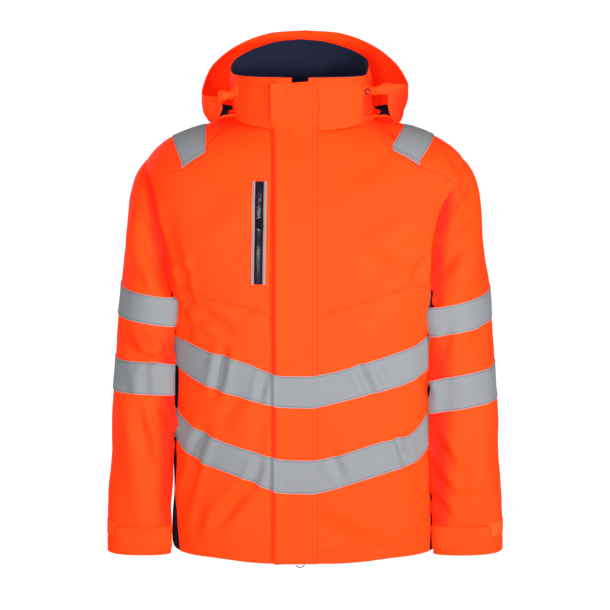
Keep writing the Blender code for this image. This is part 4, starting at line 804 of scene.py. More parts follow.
def side_panel(side, front_seam):
    """Ruled from the front seam to the back seam, its top dipping under the arm."""
    sign = SIGN[side]
    heights = torso(front_seam[:, 0], front_seam[:, 1])[:, 2]
    corner_x, corner_z = ARMHOLE_BACK[0]
    widen = np.clip((heights - WIDENS_FROM_Z) / (heights[-1] - WIDENS_FROM_Z), 0, 1)
    back = find(sign * (BACK_SEAM_X + (corner_x - BACK_SEAM_X) * widen),
                heights + (corner_z - heights[-1]) * widen, back=True)
    share = np.linspace(0, 1, SIDE_COLUMNS * FINE + 1)[None, :, None]
    grid = (1 - share) * front_seam[:, None] + share * back[:, None]
    deepest = find(0.0, UNDERARM_Z)[1]
    part = np.clip(1 - np.arange(len(grid))[::-1] / (DIP_CELLS * FINE), 0, 1)[:, None] ** DIP_POWER
    grid[..., 1] += part * np.sin(math.pi * share[..., 0]) * (deepest - grid[-1:, :, 1])
    return grid


flank = {side: side_panel(side, lower[side][:, -1]) for side in SIGN}
columns = 2 * (shoulder["left"].shape[1] - 1) + BACK_NECK_COLUMNS * FINE
share = np.linspace(0, 1, columns + 1)[None, :, None]
left_start, right_end = flank["left"][:, -1], flank["right"][:, -1]
back_low = (1 - share) * left_start[:, None] + share * right_end[:, None]
middle_x = np.linspace(SHOULDER_STATIONS["left"][-1][3], -SHOULDER_STATIONS["right"][-1][3],
                       BACK_NECK_COLUMNS * FINE + 1)
middle = find(middle_x, np.full(len(middle_x), float(YOKE_SEAM_Z)), back=True)
back_top = np.concatenate([shoulder["left"][-1], middle[1:-1], shoulder["right"][-1][::-1]])
back_sides = []
for side, corner in (("left", left_start[-1]), ("right", right_end[-1])):
    armhole = along(ARMHOLE_BACK, ARMHOLE_ROWS * FINE)
    line = find(SIGN[side] * armhole[:, 0], armhole[:, 1], back=True)
    line[0], line[-1] = corner, shoulder[side][-1, 0]
    back_sides.append(line)
back_high = coons(back_low[-1], back_top, *back_sides)
span = shoulder["left"].shape[1] - 1
turn_row = SHOULDER_ROWS[0] * FINE
start, end = shoulder["left"][turn_row:, -1], shoulder["right"][turn_row:, -1]
neck_phi = np.linspace(start[0, 0], end[0, 0], BACK_NECK_COLUMNS * FINE + 1)
behind_neck = coons(np.stack([neck_phi, np.full(len(neck_phi), float(NECK_LEVEL))], -1),
                    back_high[-1, span:-span], start, end)

NAVY = cloth_material("navy side cloth", "navy_cloth", (0.012, 0.011, 0.030), 0.8, sheen=0.03)
side_sheets = {side: torso_sheet(flank[side], hem=True) for side in SIGN}
for side in SIGN:
    cloth(f"shell_side_{side}", [side_sheets[side]], SHELL_WALL, NAVY, f"side_panel_{side}",
          flat=(0.15, 0.45), area=0.053, held="hung", rests_on=[f"front_{side}", "back"])
back_low_sheet = torso_sheet(back_low, ("start", "end"), hem=True)
back_high_sheet = torso_sheet(back_high, ("top", "start", "end"))
cloth("shell_back", [back_low_sheet, back_high_sheet], SHELL_WALL, ORANGE, "back",
      flat=(0.56, 0.63), area=0.28, held="hung", rests_on=["yoke"])
stitches("stitching_back", [line_beside(back_low_sheet, "bottom", HEM_STITCHING)]
         + [line_beside(back_high_sheet, "top", gap) for gap in TOPSTITCHING], THREAD)
yoke_sheets = [torso_sheet(shoulder["left"], ("bottom", "start", "top")),
               torso_sheet(behind_neck, ("bottom", "top")),
               torso_sheet(shoulder["right"], ("bottom", "start", "top"))]
cloth("shell_yoke", yoke_sheets, SHELL_WALL, ORANGE, "yoke", flat=(0.56, 0.30), area=0.11,
      held="draped", rests_on=["back", "chest_right", "chest_left"])

# ---------------------------------------------------------------- sleeves
# Each sleeve is a tube of orange shell cloth, sewn into its armhole all round. It
# hangs straight and a little in front, down to a gathered cuff.
SLEEVE_RINGS = (
    # outer_x, outer_z, inner_x, inner_z, half_depth, middle_y, bow, left_outer, left_inner, rise
    (263.5, -66, 222.0, -291, 73, -2, 0, 0, 0, 8),
    (274.5, -83, 221.5, -294, 75, -4, 2, 1, 1, 13),
    (282.0, -107, 221.0, -296, 77, -6, 4, 3, 2, 17),
    (287.5, -140, 220.5, -298, 79, -8, 6, 5, 4, 21),
    (292.0, -180, 220.0, -300, 80, -10, 8, 7, 6, 27),
    (297.0, -223, 219.5, -303, 80, -12, 10, 9, 8, 34),
    (301.5, -263, 219.0, -307, 79, -14, 12, 10, 9, 38),
    (306.0, -311, 220.0, -352, 77, -16, 11, 10, 10, 36),
    (309.0, -348, 219.0, -380, 75, -18, 11, 12, 18, 28),
    (312.0, -382, 218.5, -404, 73, -20, 11, 13, 23, 18),
    (315.5, -434, 218.5, -452, 70, -23, 7, 17, 26, 16),
    (318.5, -490, 219.0, -500, 66, -26, 4, 11, 18, 12),
    (321.0, -540, 220.0, -546, 61, -29, 2, 6, 10, 4),
    (323.5, -590, 223.0, -594, 56, -32, 0, 3, 6, 0),
    (326.0, -630, 223.5, -632, 52, -34, 0, 2, 3, 0),
    (327.5, -656, 224.5, -657, 49, -35, 0, 0, 0, 0),
    (328.0, -676, 225.5, -677, 47, -36, 0, 0, 0, 0),
    (328.5, -695, 226.0, -695, 46, -37, 0, 0, 0, 0),
    (328.5, -706, 226.5, -706, 45, -37, 0, 0, 0, 0),
)
SLEEVE_TURN = {"right": 5.0, "left": 13.0}
SLEEVE_WRAP, SLEEVE_WRAP_RINGS = {"right": 26.0, "left": 39.0}, 3.0
SLEEVE_CLEARANCE, SLEEVE_SQUARENESS, SLEEVE_BLEND_RINGS = 0.4, 2.25, 6.0
ARMPIT_TOP_Z = -262
CUFF_Z, CUFF_PUCKER_WAVE, CUFF_PUCKER_RISE = -695, 7.0, 14
CUFF_PUCKERS = ((-236, 16, 1.3), (232, 14, 1.0))
ARMHOLE_BLEND = 14                  # over this length the sleeve is drawn to the armhole's own points
ARMHOLE_CREASE, CREASE_WIDTH = 3.4, 10      # how the sleeve's front dips beside the armhole seam


def torso_side(y, z):
    """Half width of the torso at a depth and height below the arms, from its section's formula."""
    table = np.array(TORSO_LEVELS, float)
    level = np.interp(np.minimum(z, ARMPIT_TOP_Z), table[:, 1], np.arange(NECK_LEVEL + 1))
    section = smooth(table, level)
    deep = np.where(y < 0, section[:, 2], section[:, 4])
    share = np.minimum(abs(y / deep), 1)
    return section[:, 0] * (1 - share ** section[:, 6]) ** (1 / section[:, 6])


def ring_plane(outer_x, outer_z, inner_x, inner_z):
    """A ring's middle, half width, the way out along it and the way across, from its two seen ends."""
    outer, inner = np.array((outer_x, 0, outer_z)), np.array((inner_x, 0, inner_z))
    half = (outer - inner) / 2
    long = np.linalg.norm(half)
    axis = half / long
    return (outer + inner) / 2, long, axis, np.array((axis[2], 0, -axis[0]))


def sleeve_rings(side, armhole):
    """Rings that go from the armhole's shape to tilted rounded oblongs, kept clear of the torso."""
    sign = SIGN[side]
    table = np.array(SLEEVE_RINGS, float)
    if side == "left":
        table[:, (1, 3)] -= table[:, (7, 8)]
    ring = armhole * (sign, 1, 1)
    top, bottom = ring[np.argmax(ring[:, 2])], ring[np.argmin(ring[:, 2])]
    middle, long, axis, normal = ring_plane(top[0], top[2], bottom[0], bottom[2])
    middle_y = (ring[:, 1].max() + ring[:, 1].min()) / 2
    half_depth = (ring[:, 1].max() - ring[:, 1].min()) / 2
    p, q = (ring - middle) @ axis / long, (ring[:, 1] - middle_y) / half_depth
    lean = (ring - middle) @ normal
    angle = np.arctan2(q, p)
    c, s = np.cos(angle), np.sin(angle)
    reach = (abs(c) ** SLEEVE_SQUARENESS + abs(s) ** SLEEVE_SQUARENESS) ** (1 / SLEEVE_SQUARENESS)
    rings = [ring]
    for k, (*seen_ends, depth, table_y, bow, _, _, rise_in) in enumerate(table, 1):
        share = min(k / SLEEVE_BLEND_RINGS, 1)
        share = share * share * (3 - 2 * share)
        middle, long, axis, normal = ring_plane(*seen_ends)
        across = (1 - share) * p + share * c / reach
        deep = (1 - share) * q + share * s / reach
        turn = math.radians(SLEEVE_TURN[side]) * share
        u = long * across * math.cos(turn) + depth * deep * math.sin(turn)
        wrap = SLEEVE_WRAP[side] * min(k / SLEEVE_WRAP_RINGS, 1)
        u -= wrap * np.maximum(-deep, 0) ** 1.5 * (1 - across) / 2
        w = depth * deep * math.cos(turn) - long * across * math.sin(turn) * 0.3
        points = middle + u[:, None] * axis + ((1 - share) * lean)[:, None] * normal
        points[:, 1] += (1 - share) * middle_y + share * table_y + w
        points[:, 2] += bow * (1 - across ** 2)
        points[:, 2] += rise_in * np.maximum(-deep, 0) ** 0.5 * ((1 - across) / 2) ** 2
        near = torso_side(points[:, 1], points[:, 2]) + SLEEVE_CLEARANCE * min(k / 3, 1)
        points[:, 0] = np.maximum(points[:, 0], near)
        rings.append(points)
    return np.array(rings) * (sign, 1, 1)


def grid_normals(points, inside, closed=False):
    """The cross product of the steps along the grid's two ways, turned away from a point inside."""
    rows, columns = np.gradient(points, axis=0), np.gradient(points, axis=1)
    if closed:
        columns[:, 0] = columns[:, -1] = points[:, 1] - points[:, -2]
    normals = unit(np.cross(columns, rows))
    return normals * np.sign((normals * (points - inside)).sum())


def smooth_rings(rings, place):
    """Cubics through the rings, the slope at a ring weighed by the distances to the two beside it."""
    steps = np.diff(rings, axis=0)
    far = np.linalg.norm(steps, axis=-1, keepdims=True) + 1e-6
    pace = steps / far
    slopes = (pace[:-1] * far[1:] + pace[1:] * far[:-1]) / (far[:-1] + far[1:])
    slopes = np.concatenate([pace[:1], slopes, pace[-1:]])
    i = np.minimum(place.astype(int), len(steps) - 1)
    t = (place - i)[:, None, None]
    return ((2 * t ** 3 - 3 * t ** 2 + 1) * rings[i] + (3 * t ** 2 - 2 * t ** 3) * rings[i + 1]
            + ((t ** 3 - 2 * t ** 2 + t) * slopes[i] + (t ** 3 - t ** 2) * slopes[i + 1]) * far[i])


def sleeve_sheet(side, armhole_phi_level):
    """The rings read smoothly, folded, and drawn to the armhole's own folded points."""
    base = torso(armhole_phi_level[:, 0], armhole_phi_level[:, 1])
    rings = sleeve_rings(side, base)
    count = len(rings) - 1
    place = np.linspace(0, count, count * FINE + 1)
    place = np.concatenate([place[:1], [0.05, 0.12], place[1:-1], [count - 0.08], place[-1:]])
    points = smooth_rings(rings, place)
    normals = grid_normals(points, points.mean(1, keepdims=True), closed=True)
    height = fold_height(points)
    x, z = points[..., 0], points[..., 2]
    for middle, half_width, tall in CUFF_PUCKERS:
        height = height + (tall * np.exp(-((x - middle) / half_width) ** 2)
                           * np.sin(2 * math.pi * x / CUFF_PUCKER_WAVE)
                           * np.exp(-((z - CUFF_Z) / CUFF_PUCKER_RISE) ** 2))
    seam_normals = torso_normals(armhole_phi_level)
    seam = base + seam_normals * (fold_height(base) - SEAM_SINK)[:, None]
    points = points + normals * height[..., None]
    run = run_from(points, "bottom")
    points = points + np.exp(-(run / ARMHOLE_BLEND) ** 2)[..., None] * (seam - points[0])[None]
    run, below = run_from(points, "bottom"), (place > 0)[:, None]
    sink = 0.8 * np.exp(-(run / SEAM_WIDTH) ** 2) * below
    crease = ARMHOLE_CREASE * np.exp(-(run / CREASE_WIDTH) ** 2) * np.clip(-points[..., 1] / 60, 0, 1)
    return points - normals * (sink + crease * below)[..., None], normals


armholes = {side: np.concatenate([upper[side][:-1, -1], shoulder[side][:-1, 0],
                                  back_high[:0:-1, column], flank[side][-1, ::-1]])
            for column, side in ((0, "left"), (-1, "right"))}
sleeve_sheets = {side: sleeve_sheet(side, armholes[side]) for side in SIGN}
for side in SIGN:
    cloth(f"shell_sleeve_{side}", [sleeve_sheets[side]], SHELL_WALL, ORANGE, f"sleeve_{side}",
          flat=(0.52, 0.63), area=0.22, held="hung", rests_on=[f"chest_{side}", "yoke", "back"])

# ---------------------------------------------------------------- collar and its lining
# A stand collar sewn to the neck seam, highest behind the neck: orange shell cloth
# outside and navy fleece inside, with one upright seam in the fleece.
COLLAR_TOP = ((0, 78), (60, 78), (80, 80), (92, 87), (106, 99), (128, 114), (152, 125), (180, 129))
COLLAR_WIDEN, COLLAR_SHIFT_X, COLLAR_BELLY, COLLAR_RADIUS = 1.02, -7, 3.0, 95
COLLAR_FRONT_Y, COLLAR_BACK_Y = 92 / 87, 82 / 79
COLLAR_LEAN = (12.0, 84, 20)        # the left top leans in: how far, at which angle, over what angle
COLLAR_ROWS = np.concatenate([[0, 0.012, 0.03], np.linspace(0.06, 0.97, 18), [0.985, 1.0]])
COLLAR_FOLDS = (
    # angle from the front middle, height, half width, half length, tilt, depth; minus is the right
    (-84, 40, 6, 22, 70, -2.4),
    (84, 34, 6, 24, -60, -2.6),
    (100, 24, 7, 18, -50, -2.2),
    (-60, 68, 5, 16, 10, -1.4),
    (36, 70, 4, 22, 4, -1.2),
    (-20, 70, 4, 16, -12, -1.4),
    (150, 60, 9, 30, 80, 1.6),
    (-140, 60, 9, 30, -70, 1.6),
)
LINING_WALL, LINING_GAP = 1.2, 0.3


def collar_points(neck):
    """Each neck point ruled up to the top line, with a slight outward belly between."""
    angle = np.degrees(np.arctan2(abs(neck[:, 0]), -neck[:, 1]))
    top = neck.copy()
    widen = 1 + (COLLAR_WIDEN - 1) * np.clip(angle / 60, 0, 1)
    lean_in, lean_at, lean_over = COLLAR_LEAN
    top[:, 0] = neck[:, 0] * widen + COLLAR_SHIFT_X * np.sin(np.radians(angle / 2)) ** 2
    top[:, 0] -= lean_in * np.exp(-((angle - lean_at) / lean_over) ** 2) * (neck[:, 0] > 0)
    top[:, 1] = neck[:, 1] * np.where(neck[:, 1] < 0, COLLAR_FRONT_Y, COLLAR_BACK_Y)
    heights = np.array(COLLAR_TOP, float)
    top[:, 2] = curve(heights[:, 0], heights[:, 1], angle)
    share = COLLAR_ROWS[:, None, None]
    belly = COLLAR_BELLY * 4 * share * (1 - share) * unit(neck * (1, 1, 0))
    return (1 - share) * neck + share * top + belly


def tilted(dx, dz, tilt):
    """A distance sideways and up, as the distances along and across a line at a tilt."""
    c, s = math.cos(math.radians(tilt)), math.sin(math.radians(tilt))
    return dx * c + dz * s, dz * c - dx * s


def collar_folds(points):
    """Bells on the collar by angle round the neck and height."""
    angle = np.degrees(np.arctan2(points[..., 0], -points[..., 1]))
    total = np.zeros(angle.shape)
    for at, height, half_width, half_length, tilt, depth in COLLAR_FOLDS:
        round_it = (angle - at) * math.pi / 180 * COLLAR_RADIUS
        run, across = tilted(round_it, points[..., 2] - height, tilt)
        total += depth * np.exp(-(across / half_width) ** 2 - (run / half_length) ** 2)
    return total


front_columns_of_neck = slice(0, STRIP_COLUMNS + 2 * FINE)
neck_line = np.concatenate([
    upper["right"][-1, front_columns_of_neck], shoulder["right"][:turn_row, -1],
    behind_neck[0, ::-1], shoulder["left"][:turn_row, -1][::-1],
    upper["left"][-1, front_columns_of_neck][::-1]])
neck_line = neck_line[np.concatenate([[True], np.abs(np.diff(neck_line, axis=0)).sum(1) > 1e-6])]
neck_points = torso(neck_line[:, 0], neck_line[:, 1])
collar_base = collar_points(neck_points)
collar_normals = grid_normals(collar_base, (0, 0, 50))
folded_collar = lifted((collar_base, collar_normals), collar_folds(collar_base))[0]
collar_sheet = (sewn(folded_collar, collar_normals, ("bottom",)), collar_normals)
cloth("shell_collar", [collar_sheet], SHELL_WALL, ORANGE, "collar", flat=(0.62, 0.13), area=0.055,
      held="stretched", rests_on=["yoke", "chest_right", "chest_left"])
FLEECE_COLOUR = (0.0125, 0.0145, 0.036)
FLEECE = cloth_material("navy fleece", "navy_fleece", FLEECE_COLOUR, 0.95, bump=0.6,
                        glow=(FLEECE_COLOUR, 0.16), sheen=0.04, scale=0.6)
inside_points, inside_normals = (part[1:, 2:-2] for part in collar_sheet)
down = np.broadcast_to((0.0, 0.0, -1.0), inside_normals[-1:].shape)
hidden = inside_points - inside_normals * (SHELL_WALL + LINING_GAP)
edge = inside_points[-1:] - down * (LINING_GAP + LINING_WALL * 0.2)
lining_sheet = (np.concatenate([hidden, edge - inside_normals[-1:] * SHELL_WALL, edge]),
                np.concatenate([inside_normals, unit(inside_normals[-1:] + down), down]))
cloth("fleece_collar", [lining_sheet], LINING_WALL, FLEECE, "collar_lining", flat=(0.60, 0.12),
      area=0.050, held="stretched", rests_on=["collar"])
NAVY_THREAD = plain_material("navy thread", (0.004, 0.004, 0.011), 0.9)
LINING_SEAM_X = -96
turned = tuple(part[3:-2] for part in lining_sheet)
turned = (turned[0] - turned[1] * LINING_WALL, -turned[1])
top_row = turned[0][-1]
seam_column = int(np.argmin(abs(top_row[:, 0] - LINING_SEAM_X) + 99 * (top_row[:, 1] < 0)))
stitches("seams_of_fleece", [line_beside(turned, "top", 7.0, (0.12, 0.88)),
                             (turned[0][:-4, seam_column], turned[1][:-4, seam_column])], NAVY_THREAD,
         pitch=2.6, length=2.6, width=0.9)

# ---------------------------------------------------------------- hood and its lining
# The hood is laid back: a soft bag of shell cloth behind the collar, sewn on low
# round it. An orange facing is turned in round its rim, and navy fleece lines it.
HOOD_STATIONS = (
    # share of the way from the back to the front end, then rim, outside, bottom, inner wall
    (0.00, (0, 136, 143), (0, 188, 34), (0, 168, -118), (0, 146, -56)),
    (0.20, (62, 128, 138), (76, 177, 34), (80, 162, -112), (66, 142, -56)),
    (0.40, (114, 101, 119), (138, 140, 38), (146, 132, -62), (116, 124, -22)),
    (0.60, (151, 63, 91), (165, 82, 42), (154, 88, -14), (134, 84, 6)),
    (0.78, (168, 12, 63), (167, 12, 34), (156, 14, 6), (136, 12, 12)),
    (0.90, (161, -43, 65), (161, -46, 36), (152, -40, 2), (136, -38, 8)),
    (1.00, (137, -61, 66), (133, -64, 40), (138, -58, 12), (127, -54, 14)),
)
HOOD_ROWS, HOOD_FACING_SHARE, HOOD_SEAM_SHARE, HOOD_SEAM_GAP = 44, 0.31, 0.12, 0.6
HOOD_DROP, HOOD_DROP_FROM, HOOD_OUTSIDE_DROP = 20, 0.6, 0.6     # the right end is held lower
HOOD_LINING_GAP = 1.6


def hood_points(collar_part):
    """Five-point sections read smoothly along the hood and round each section."""
    row = np.searchsorted(COLLAR_ROWS, HOOD_SEAM_SHARE)
    part = (HOOD_SEAM_SHARE - COLLAR_ROWS[row - 1]) / (COLLAR_ROWS[row] - COLLAR_ROWS[row - 1])
    base = (1 - part) * collar_part[row - 1] + part * collar_part[row]
    base = base + unit(base * (1, 1, 0)) * HOOD_SEAM_GAP
    shares = np.array([row[0] for row in HOOD_STATIONS])
    stations = np.array([np.concatenate(row[1:]) for row in HOOD_STATIONS], float)
    place = np.linspace(-1, 1, len(base))
    number = np.interp(abs(place), shares, np.arange(len(shares)))
    sections = smooth(stations, number).reshape(len(base), 4, 3)
    sections[:, :, 0] *= np.sign(place)[:, None]
    drop = np.clip((-place - HOOD_DROP_FROM) / (0.95 - HOOD_DROP_FROM), 0, 1)
    drop = HOOD_DROP * drop ** 2 * (3 - 2 * drop)
    sections[:, :2, 2] -= drop[:, None] * (1, HOOD_OUTSIDE_DROP)
    sections = np.concatenate([sections, base[:, None]], 1)
    t = np.linspace(0, 4, HOOD_ROWS + 1)
    return smooth(np.moveaxis(sections, 1, 0).reshape(5, -1), t).reshape(len(t), len(base), 3)


behind = 5 + 2 * FINE
hood_base = hood_points(collar_base[:, behind:len(neck_points) - behind])
hood_normals = grid_normals(hood_base, (0, 110, 40))
HOOD_FOLDS = (
    # middle x, middle z, half width, half length, tilt of its length from upright, height
    (150, 84, 2.4, 22, 12, -2.6), (156, 80, 2.4, 18, 12, 2.0), (161, 78, 2.2, 16, 14, -2.2),
    (146, 98, 7, 26, 20, 2.6), (128, 108, 9, 26, 52, -2.6), (96, 130, 8, 34, 66, 2.4),
    (40, 140, 5, 40, 84, -1.8), (-30, 141, 5, 36, 92, 1.8), (-84, 132, 8, 30, 116, -2.4),
    (-122, 110, 9, 30, 134, 2.6), (-148, 88, 9, 26, 158, -2.6), (-158, 62, 7, 26, 172, 2.4),
    (-140, 52, 5, 18, 150, -2.4), (-150, 20, 8, 20, 100, 2.2), (150, 24, 8, 22, 80, -2.4),
    (60, 20, 16, 60, 70, -3.5), (-70, 10, 16, 60, 110, -3.5), (0, -60, 14, 70, 85, -4.0),
)


def hood_folds(points):
    """Bells by distance across and along each fold's line, seen from the front."""
    total = np.zeros(points.shape[:-1])
    for x, z, half_width, half_length, tilt, height in HOOD_FOLDS:
        across, run = tilted(points[..., 0] - x, points[..., 2] - z, tilt)
        total += height * np.exp(-(across / half_width) ** 2 - (run / half_length) ** 2)
    return total


hood_height = hood_folds(hood_base) * (1 - np.exp(-(run_from(hood_base, "bottom") / 12) ** 2))
hood_sheet = lifted((hood_base, hood_normals), hood_height)
cloth("shell_hood", [hood_sheet], SHELL_WALL, ORANGE, "hood", flat=(0.72, 0.45), area=0.185,
      held="gathered", rests_on=["collar", "yoke"])
facing = int(HOOD_FACING_SHARE * HOOD_ROWS)
cloth("fleece_hood", [tuple(part[facing:-4, 3:-3] for part in hood_sheet)], LINING_WALL, FLEECE,
      "hood_lining", lift=-SHELL_WALL - HOOD_LINING_GAP, flat=(0.70, 0.36), area=0.105,
      held="gathered", rests_on=["hood"])

# ---------------------------------------------------------------- storm flap and front zip
# A straight placket of doubled shell cloth covers the moulded front zip. Two rows of
# stitches hold its wearer's left edge, and the other edge lies loose.
FLAP_WALL, FLAP_GAP, ZIP_COLUMNS = 1.6, 0.3, 6
FLAP_ON_COLLAR_ROWS = 19


def front_columns(side):
    """The strip beside the zip, from the hem up over the chest and onto the collar."""
    body = np.concatenate([lower[side][:, :STRIP_COLUMNS], upper[side][1:, :STRIP_COLUMNS]])
    body = torso(body[..., 0], body[..., 1]), torso_normals(body)
    ends = slice(0, STRIP_COLUMNS) if side == "right" else slice(-1, -1 - STRIP_COLUMNS, -1)
    return [np.concatenate([part, other[1:, ends]])
            for part, other in zip(body, (collar_base, collar_normals))]


right_strip, left_strip = front_columns("right"), front_columns("left")
between = np.linspace(0, 1, ZIP_COLUMNS + 1)[None, :, None]
zip_strip = [(1 - between) * a[:, :1] + between * b[:, :1] for a, b in zip(right_strip, left_strip)]
zip_strip[1] = unit(zip_strip[1])
BLACK = plain_material("black plastic", (0.006, 0.006, 0.008), 0.45)
ZIP_CLOTH = cloth_material("zip tape cloth", "black_plastic", (0.008, 0.008, 0.016), 0.8)
flap_rows = len(lower["right"]) + len(upper["right"]) - 1 + FLAP_ON_COLLAR_ROWS
cloth("zip_tape_front", [tuple(part[:flap_rows - 1] for part in zip_strip)], 1.4, ZIP_CLOTH,
      "front_zip", lift=-0.6, flat=(0.027, 0.80), held="hung", rests_on=["front_right", "front_left"])
flap_points, flap_normals = (np.concatenate([r[:, :0:-1], z, l[:, 1:]], 1)[:flap_rows]
                             for r, z, l in zip(right_strip, zip_strip, left_strip))
flap_z = flap_points[..., 2]
flap_height = np.where(flap_z < 0, fold_height(flap_points), collar_folds(flap_points))
loose = np.exp(-(run_from(flap_points, "start") / 11) ** 2)       # the free edge stands off
wander = 3.2 + 1.0 * np.sin(flap_z / 57) + 0.6 * np.sin(flap_z / 23 + 1)
wander = wander + 6.0 * np.clip((flap_z + 10) / 70, 0, 1)
flap_height = flap_height + loose * wander
across = np.linspace(-1, 1, flap_points.shape[1])[None]
slant = np.clip((flap_z[..., None] - 30) / 45, 0, 1) * (across * 3.2)[..., None] * (0, 0, 1)
flap_sheet = (flap_points + flap_normals * flap_height[..., None] + slant, flap_normals)
flap_lift = FLAP_GAP + FLAP_WALL
cloth("shell_storm_flap", [flap_sheet], FLAP_WALL, ORANGE, "storm_flap", lift=flap_lift,
      flat=(0.072, 0.79), held="hung", rests_on=["front_left", "chest_left", "collar"])
stitches("stitching_storm_flap", [line_beside(flap_sheet, "end", gap) for gap in (2.0, 8.6)], THREAD,
         lift=flap_lift)

# ---------------------------------------------------------------- reflective tapes
# Grey glass-bead tape, 50 mm wide, is sewn on flat along both edges in grey thread:
# two rounds on the torso, two on each sleeve and a patch over each shoulder.
TAPE_WALL, TAPE_GAP = 0.8, 0.3
TAPE = cloth_material("reflective tape", "reflective_tape", (0.208, 0.219, 0.233), 0.5, bump=0.1,
                      glow=((0.30, 0.315, 0.335), 0.35), scale=1.4)
GREY_THREAD = plain_material("grey thread", (0.08, 0.085, 0.09), 0.7)
rows_at = np.concatenate([[0], np.cumsum(ROWS_BETWEEN_LINES)]) * FINE + 2
TAPE_LINES = {"lower": (1, 2), "upper": (3, 4)}
SLEEVE_TAPES = {"lower": (10, 11, 0.40), "upper": (7, 8, 0.42)}     # from ring, to ring, metres round


def tape(name, sheets, node, length, rests_on, lift=TAPE_GAP + TAPE_WALL):
    """A strip of tape over the cloth's own points, with a row of stitches beside each edge."""
    stitched = [line_beside(sheet, edge, 2.6) for sheet in sheets for edge in ("bottom", "top")]
    cloth(name, sheets, TAPE_WALL, TAPE, node, lift=lift, flat=(length, 0.052), held="laid",
          rests_on=rests_on)
    stitches(f"stitching_{name}", stitched, GREY_THREAD, lift=lift)


for height, (first, last) in TAPE_LINES.items():
    rows = slice(rows_at[first], rows_at[last] + 1)
    for side in SIGN:
        sheet = tuple(part[rows, STRIP_COLUMNS + 1:] for part in front_sheets[side])
        tape(f"tape_{height}_front_on_{side}", [sheet], f"tape_{height}_front_{side}", 0.215,
             [f"front_{side}"])
    round_back = [tuple(part[rows] for part in sheet)
                  for sheet in (side_sheets["left"], back_low_sheet, side_sheets["right"])]
    tape(f"tape_{height}_round_back", round_back, f"tape_{height}_back", 0.72,
         ["back", "side_panel_right", "side_panel_left"])
    body_rows = slice(rows_at[first] - 2, rows_at[last] - 1)
    tape(f"tape_{height}_on_flap", [tuple(part[body_rows] for part in flap_sheet)],
         f"tape_{height}_flap", 0.072, ["storm_flap"], lift=flap_lift + TAPE_GAP + TAPE_WALL)
for side in SIGN:
    for height in ("upper", "lower"):
        top, bottom, length = SLEEVE_TAPES[height]
        rows = slice(top * FINE + 2, bottom * FINE + 3)
        tape(f"tape_{height}_sleeve_on_{side}", [tuple(part[rows] for part in sleeve_sheets[side])],
             f"sleeve_tape_{height}_{side}", length, [f"sleeve_{side}"])


def read_grid(sheet, rows, columns):
    """A sheet read between its grid points, linearly both ways."""
    made = []
    for grid in sheet:
        i = np.clip(rows.astype(int), 0, grid.shape[0] - 2)
        j = np.clip(columns.astype(int), 0, grid.shape[1] - 2)
        u, v = (rows - i)[..., None], (columns - j)[..., None]
        made.append((1 - u) * ((1 - v) * grid[i, j] + v * grid[i, j + 1])
                    + u * ((1 - v) * grid[i + 1, j] + v * grid[i + 1, j + 1]))
    return made[0], unit(made[1])


PATCH_SIDES = {
    # seen from the front: x at the lower end and at the ridge, for the outer and the inner side
    "right": ((-197.0, -219.0), (-159.5, -160.5)),
    "left": ((183.6, 218.0), (140.5, 175.0)),
}
PATCH_LOW_Z = {"right": (-60, -34), "left": (-55, -29)}         # of the outer and the inner side
PATCH_HIGH_Z = {"right": (-14, 12), "left": (-11, 13)}
PATCH_ROWS, PATCH_COLUMNS_FINE, PATCH_STEPS = 60, 14, 4


def straight_patch(sheet, side, first, last):
    """Moves each point along its row until it lies on the line between the patch's two ends."""
    share = np.linspace(0, 1, PATCH_COLUMNS_FINE)[None]
    rows = np.linspace(0, sheet[0].shape[0] - 1.001, PATCH_ROWS)[:, None] + 0 * share
    columns = first + (last - first) * share + 0 * rows
    (outer_low, outer_high), (inner_low, inner_high) = PATCH_SIDES[side]
    low, high = (ends[side][0] + (ends[side][1] - ends[side][0]) * share
                 for ends in (PATCH_LOW_Z, PATCH_HIGH_Z))
    for _ in range(PATCH_STEPS):
        points = read_grid(sheet, rows, columns)[0]
        beside = read_grid(sheet, rows, columns + 0.5)[0]
        up = np.clip((points[..., 2] - low) / (high - low), 0, 1)
        wanted = ((1 - share) * (outer_low + (outer_high - outer_low) * up)
                  + share * (inner_low + (inner_high - inner_low) * up))
        front = np.clip((30 - points[..., 1]) / 40, 0, 1)
        columns += 0.5 * front * (wanted - points[..., 0]) / (beside[..., 0] - points[..., 0])
    return read_grid(sheet, rows, columns)


shoulder_cells = SHOULDER_COLUMNS * FINE
PATCH_STITCHING = (("start", 2.4), ("end", 2.4), ("bottom", 2.4), ("bottom", 6.4), ("top", 2.4))
for number, side in ((0, "left"), (2, "right")):
    sheet = straight_patch(yoke_sheets[number], side, shoulder_cells + 2, 2 * shoulder_cells + 2)
    cloth(f"shoulder_tape_{side}", [sheet], TAPE_WALL, TAPE, f"shoulder_patch_{side}",
          lift=TAPE_GAP + TAPE_WALL, flat=(0.055, 0.19), held="laid", rests_on=["yoke"])
    stitches(f"stitching_shoulder_{side}", [line_beside(sheet, *where) for where in PATCH_STITCHING],
             GREY_THREAD, lift=TAPE_GAP + TAPE_WALL)

# ---------------------------------------------------------------- collar flaps
# A small rounded flap of shell cloth lies over each front of the collar, sewn on by
# its inner edge. It covers the end of the hood's cord.
COLLAR_FLAPS = {
    # inner edge x, outer edge x, bottom z, top z, radius of the lower outer corner, of the upper one
    "right": (-53, -111, -6, 62, 16, 5),
    "left": (22, 91, -6, 67, 18, 4),
}
FLAP_CELLS, COLLAR_FLAP_WALL = (26, 22), 1.4
NECK_FRONT_Z, COLLAR_FRONT_Z = -8, 78


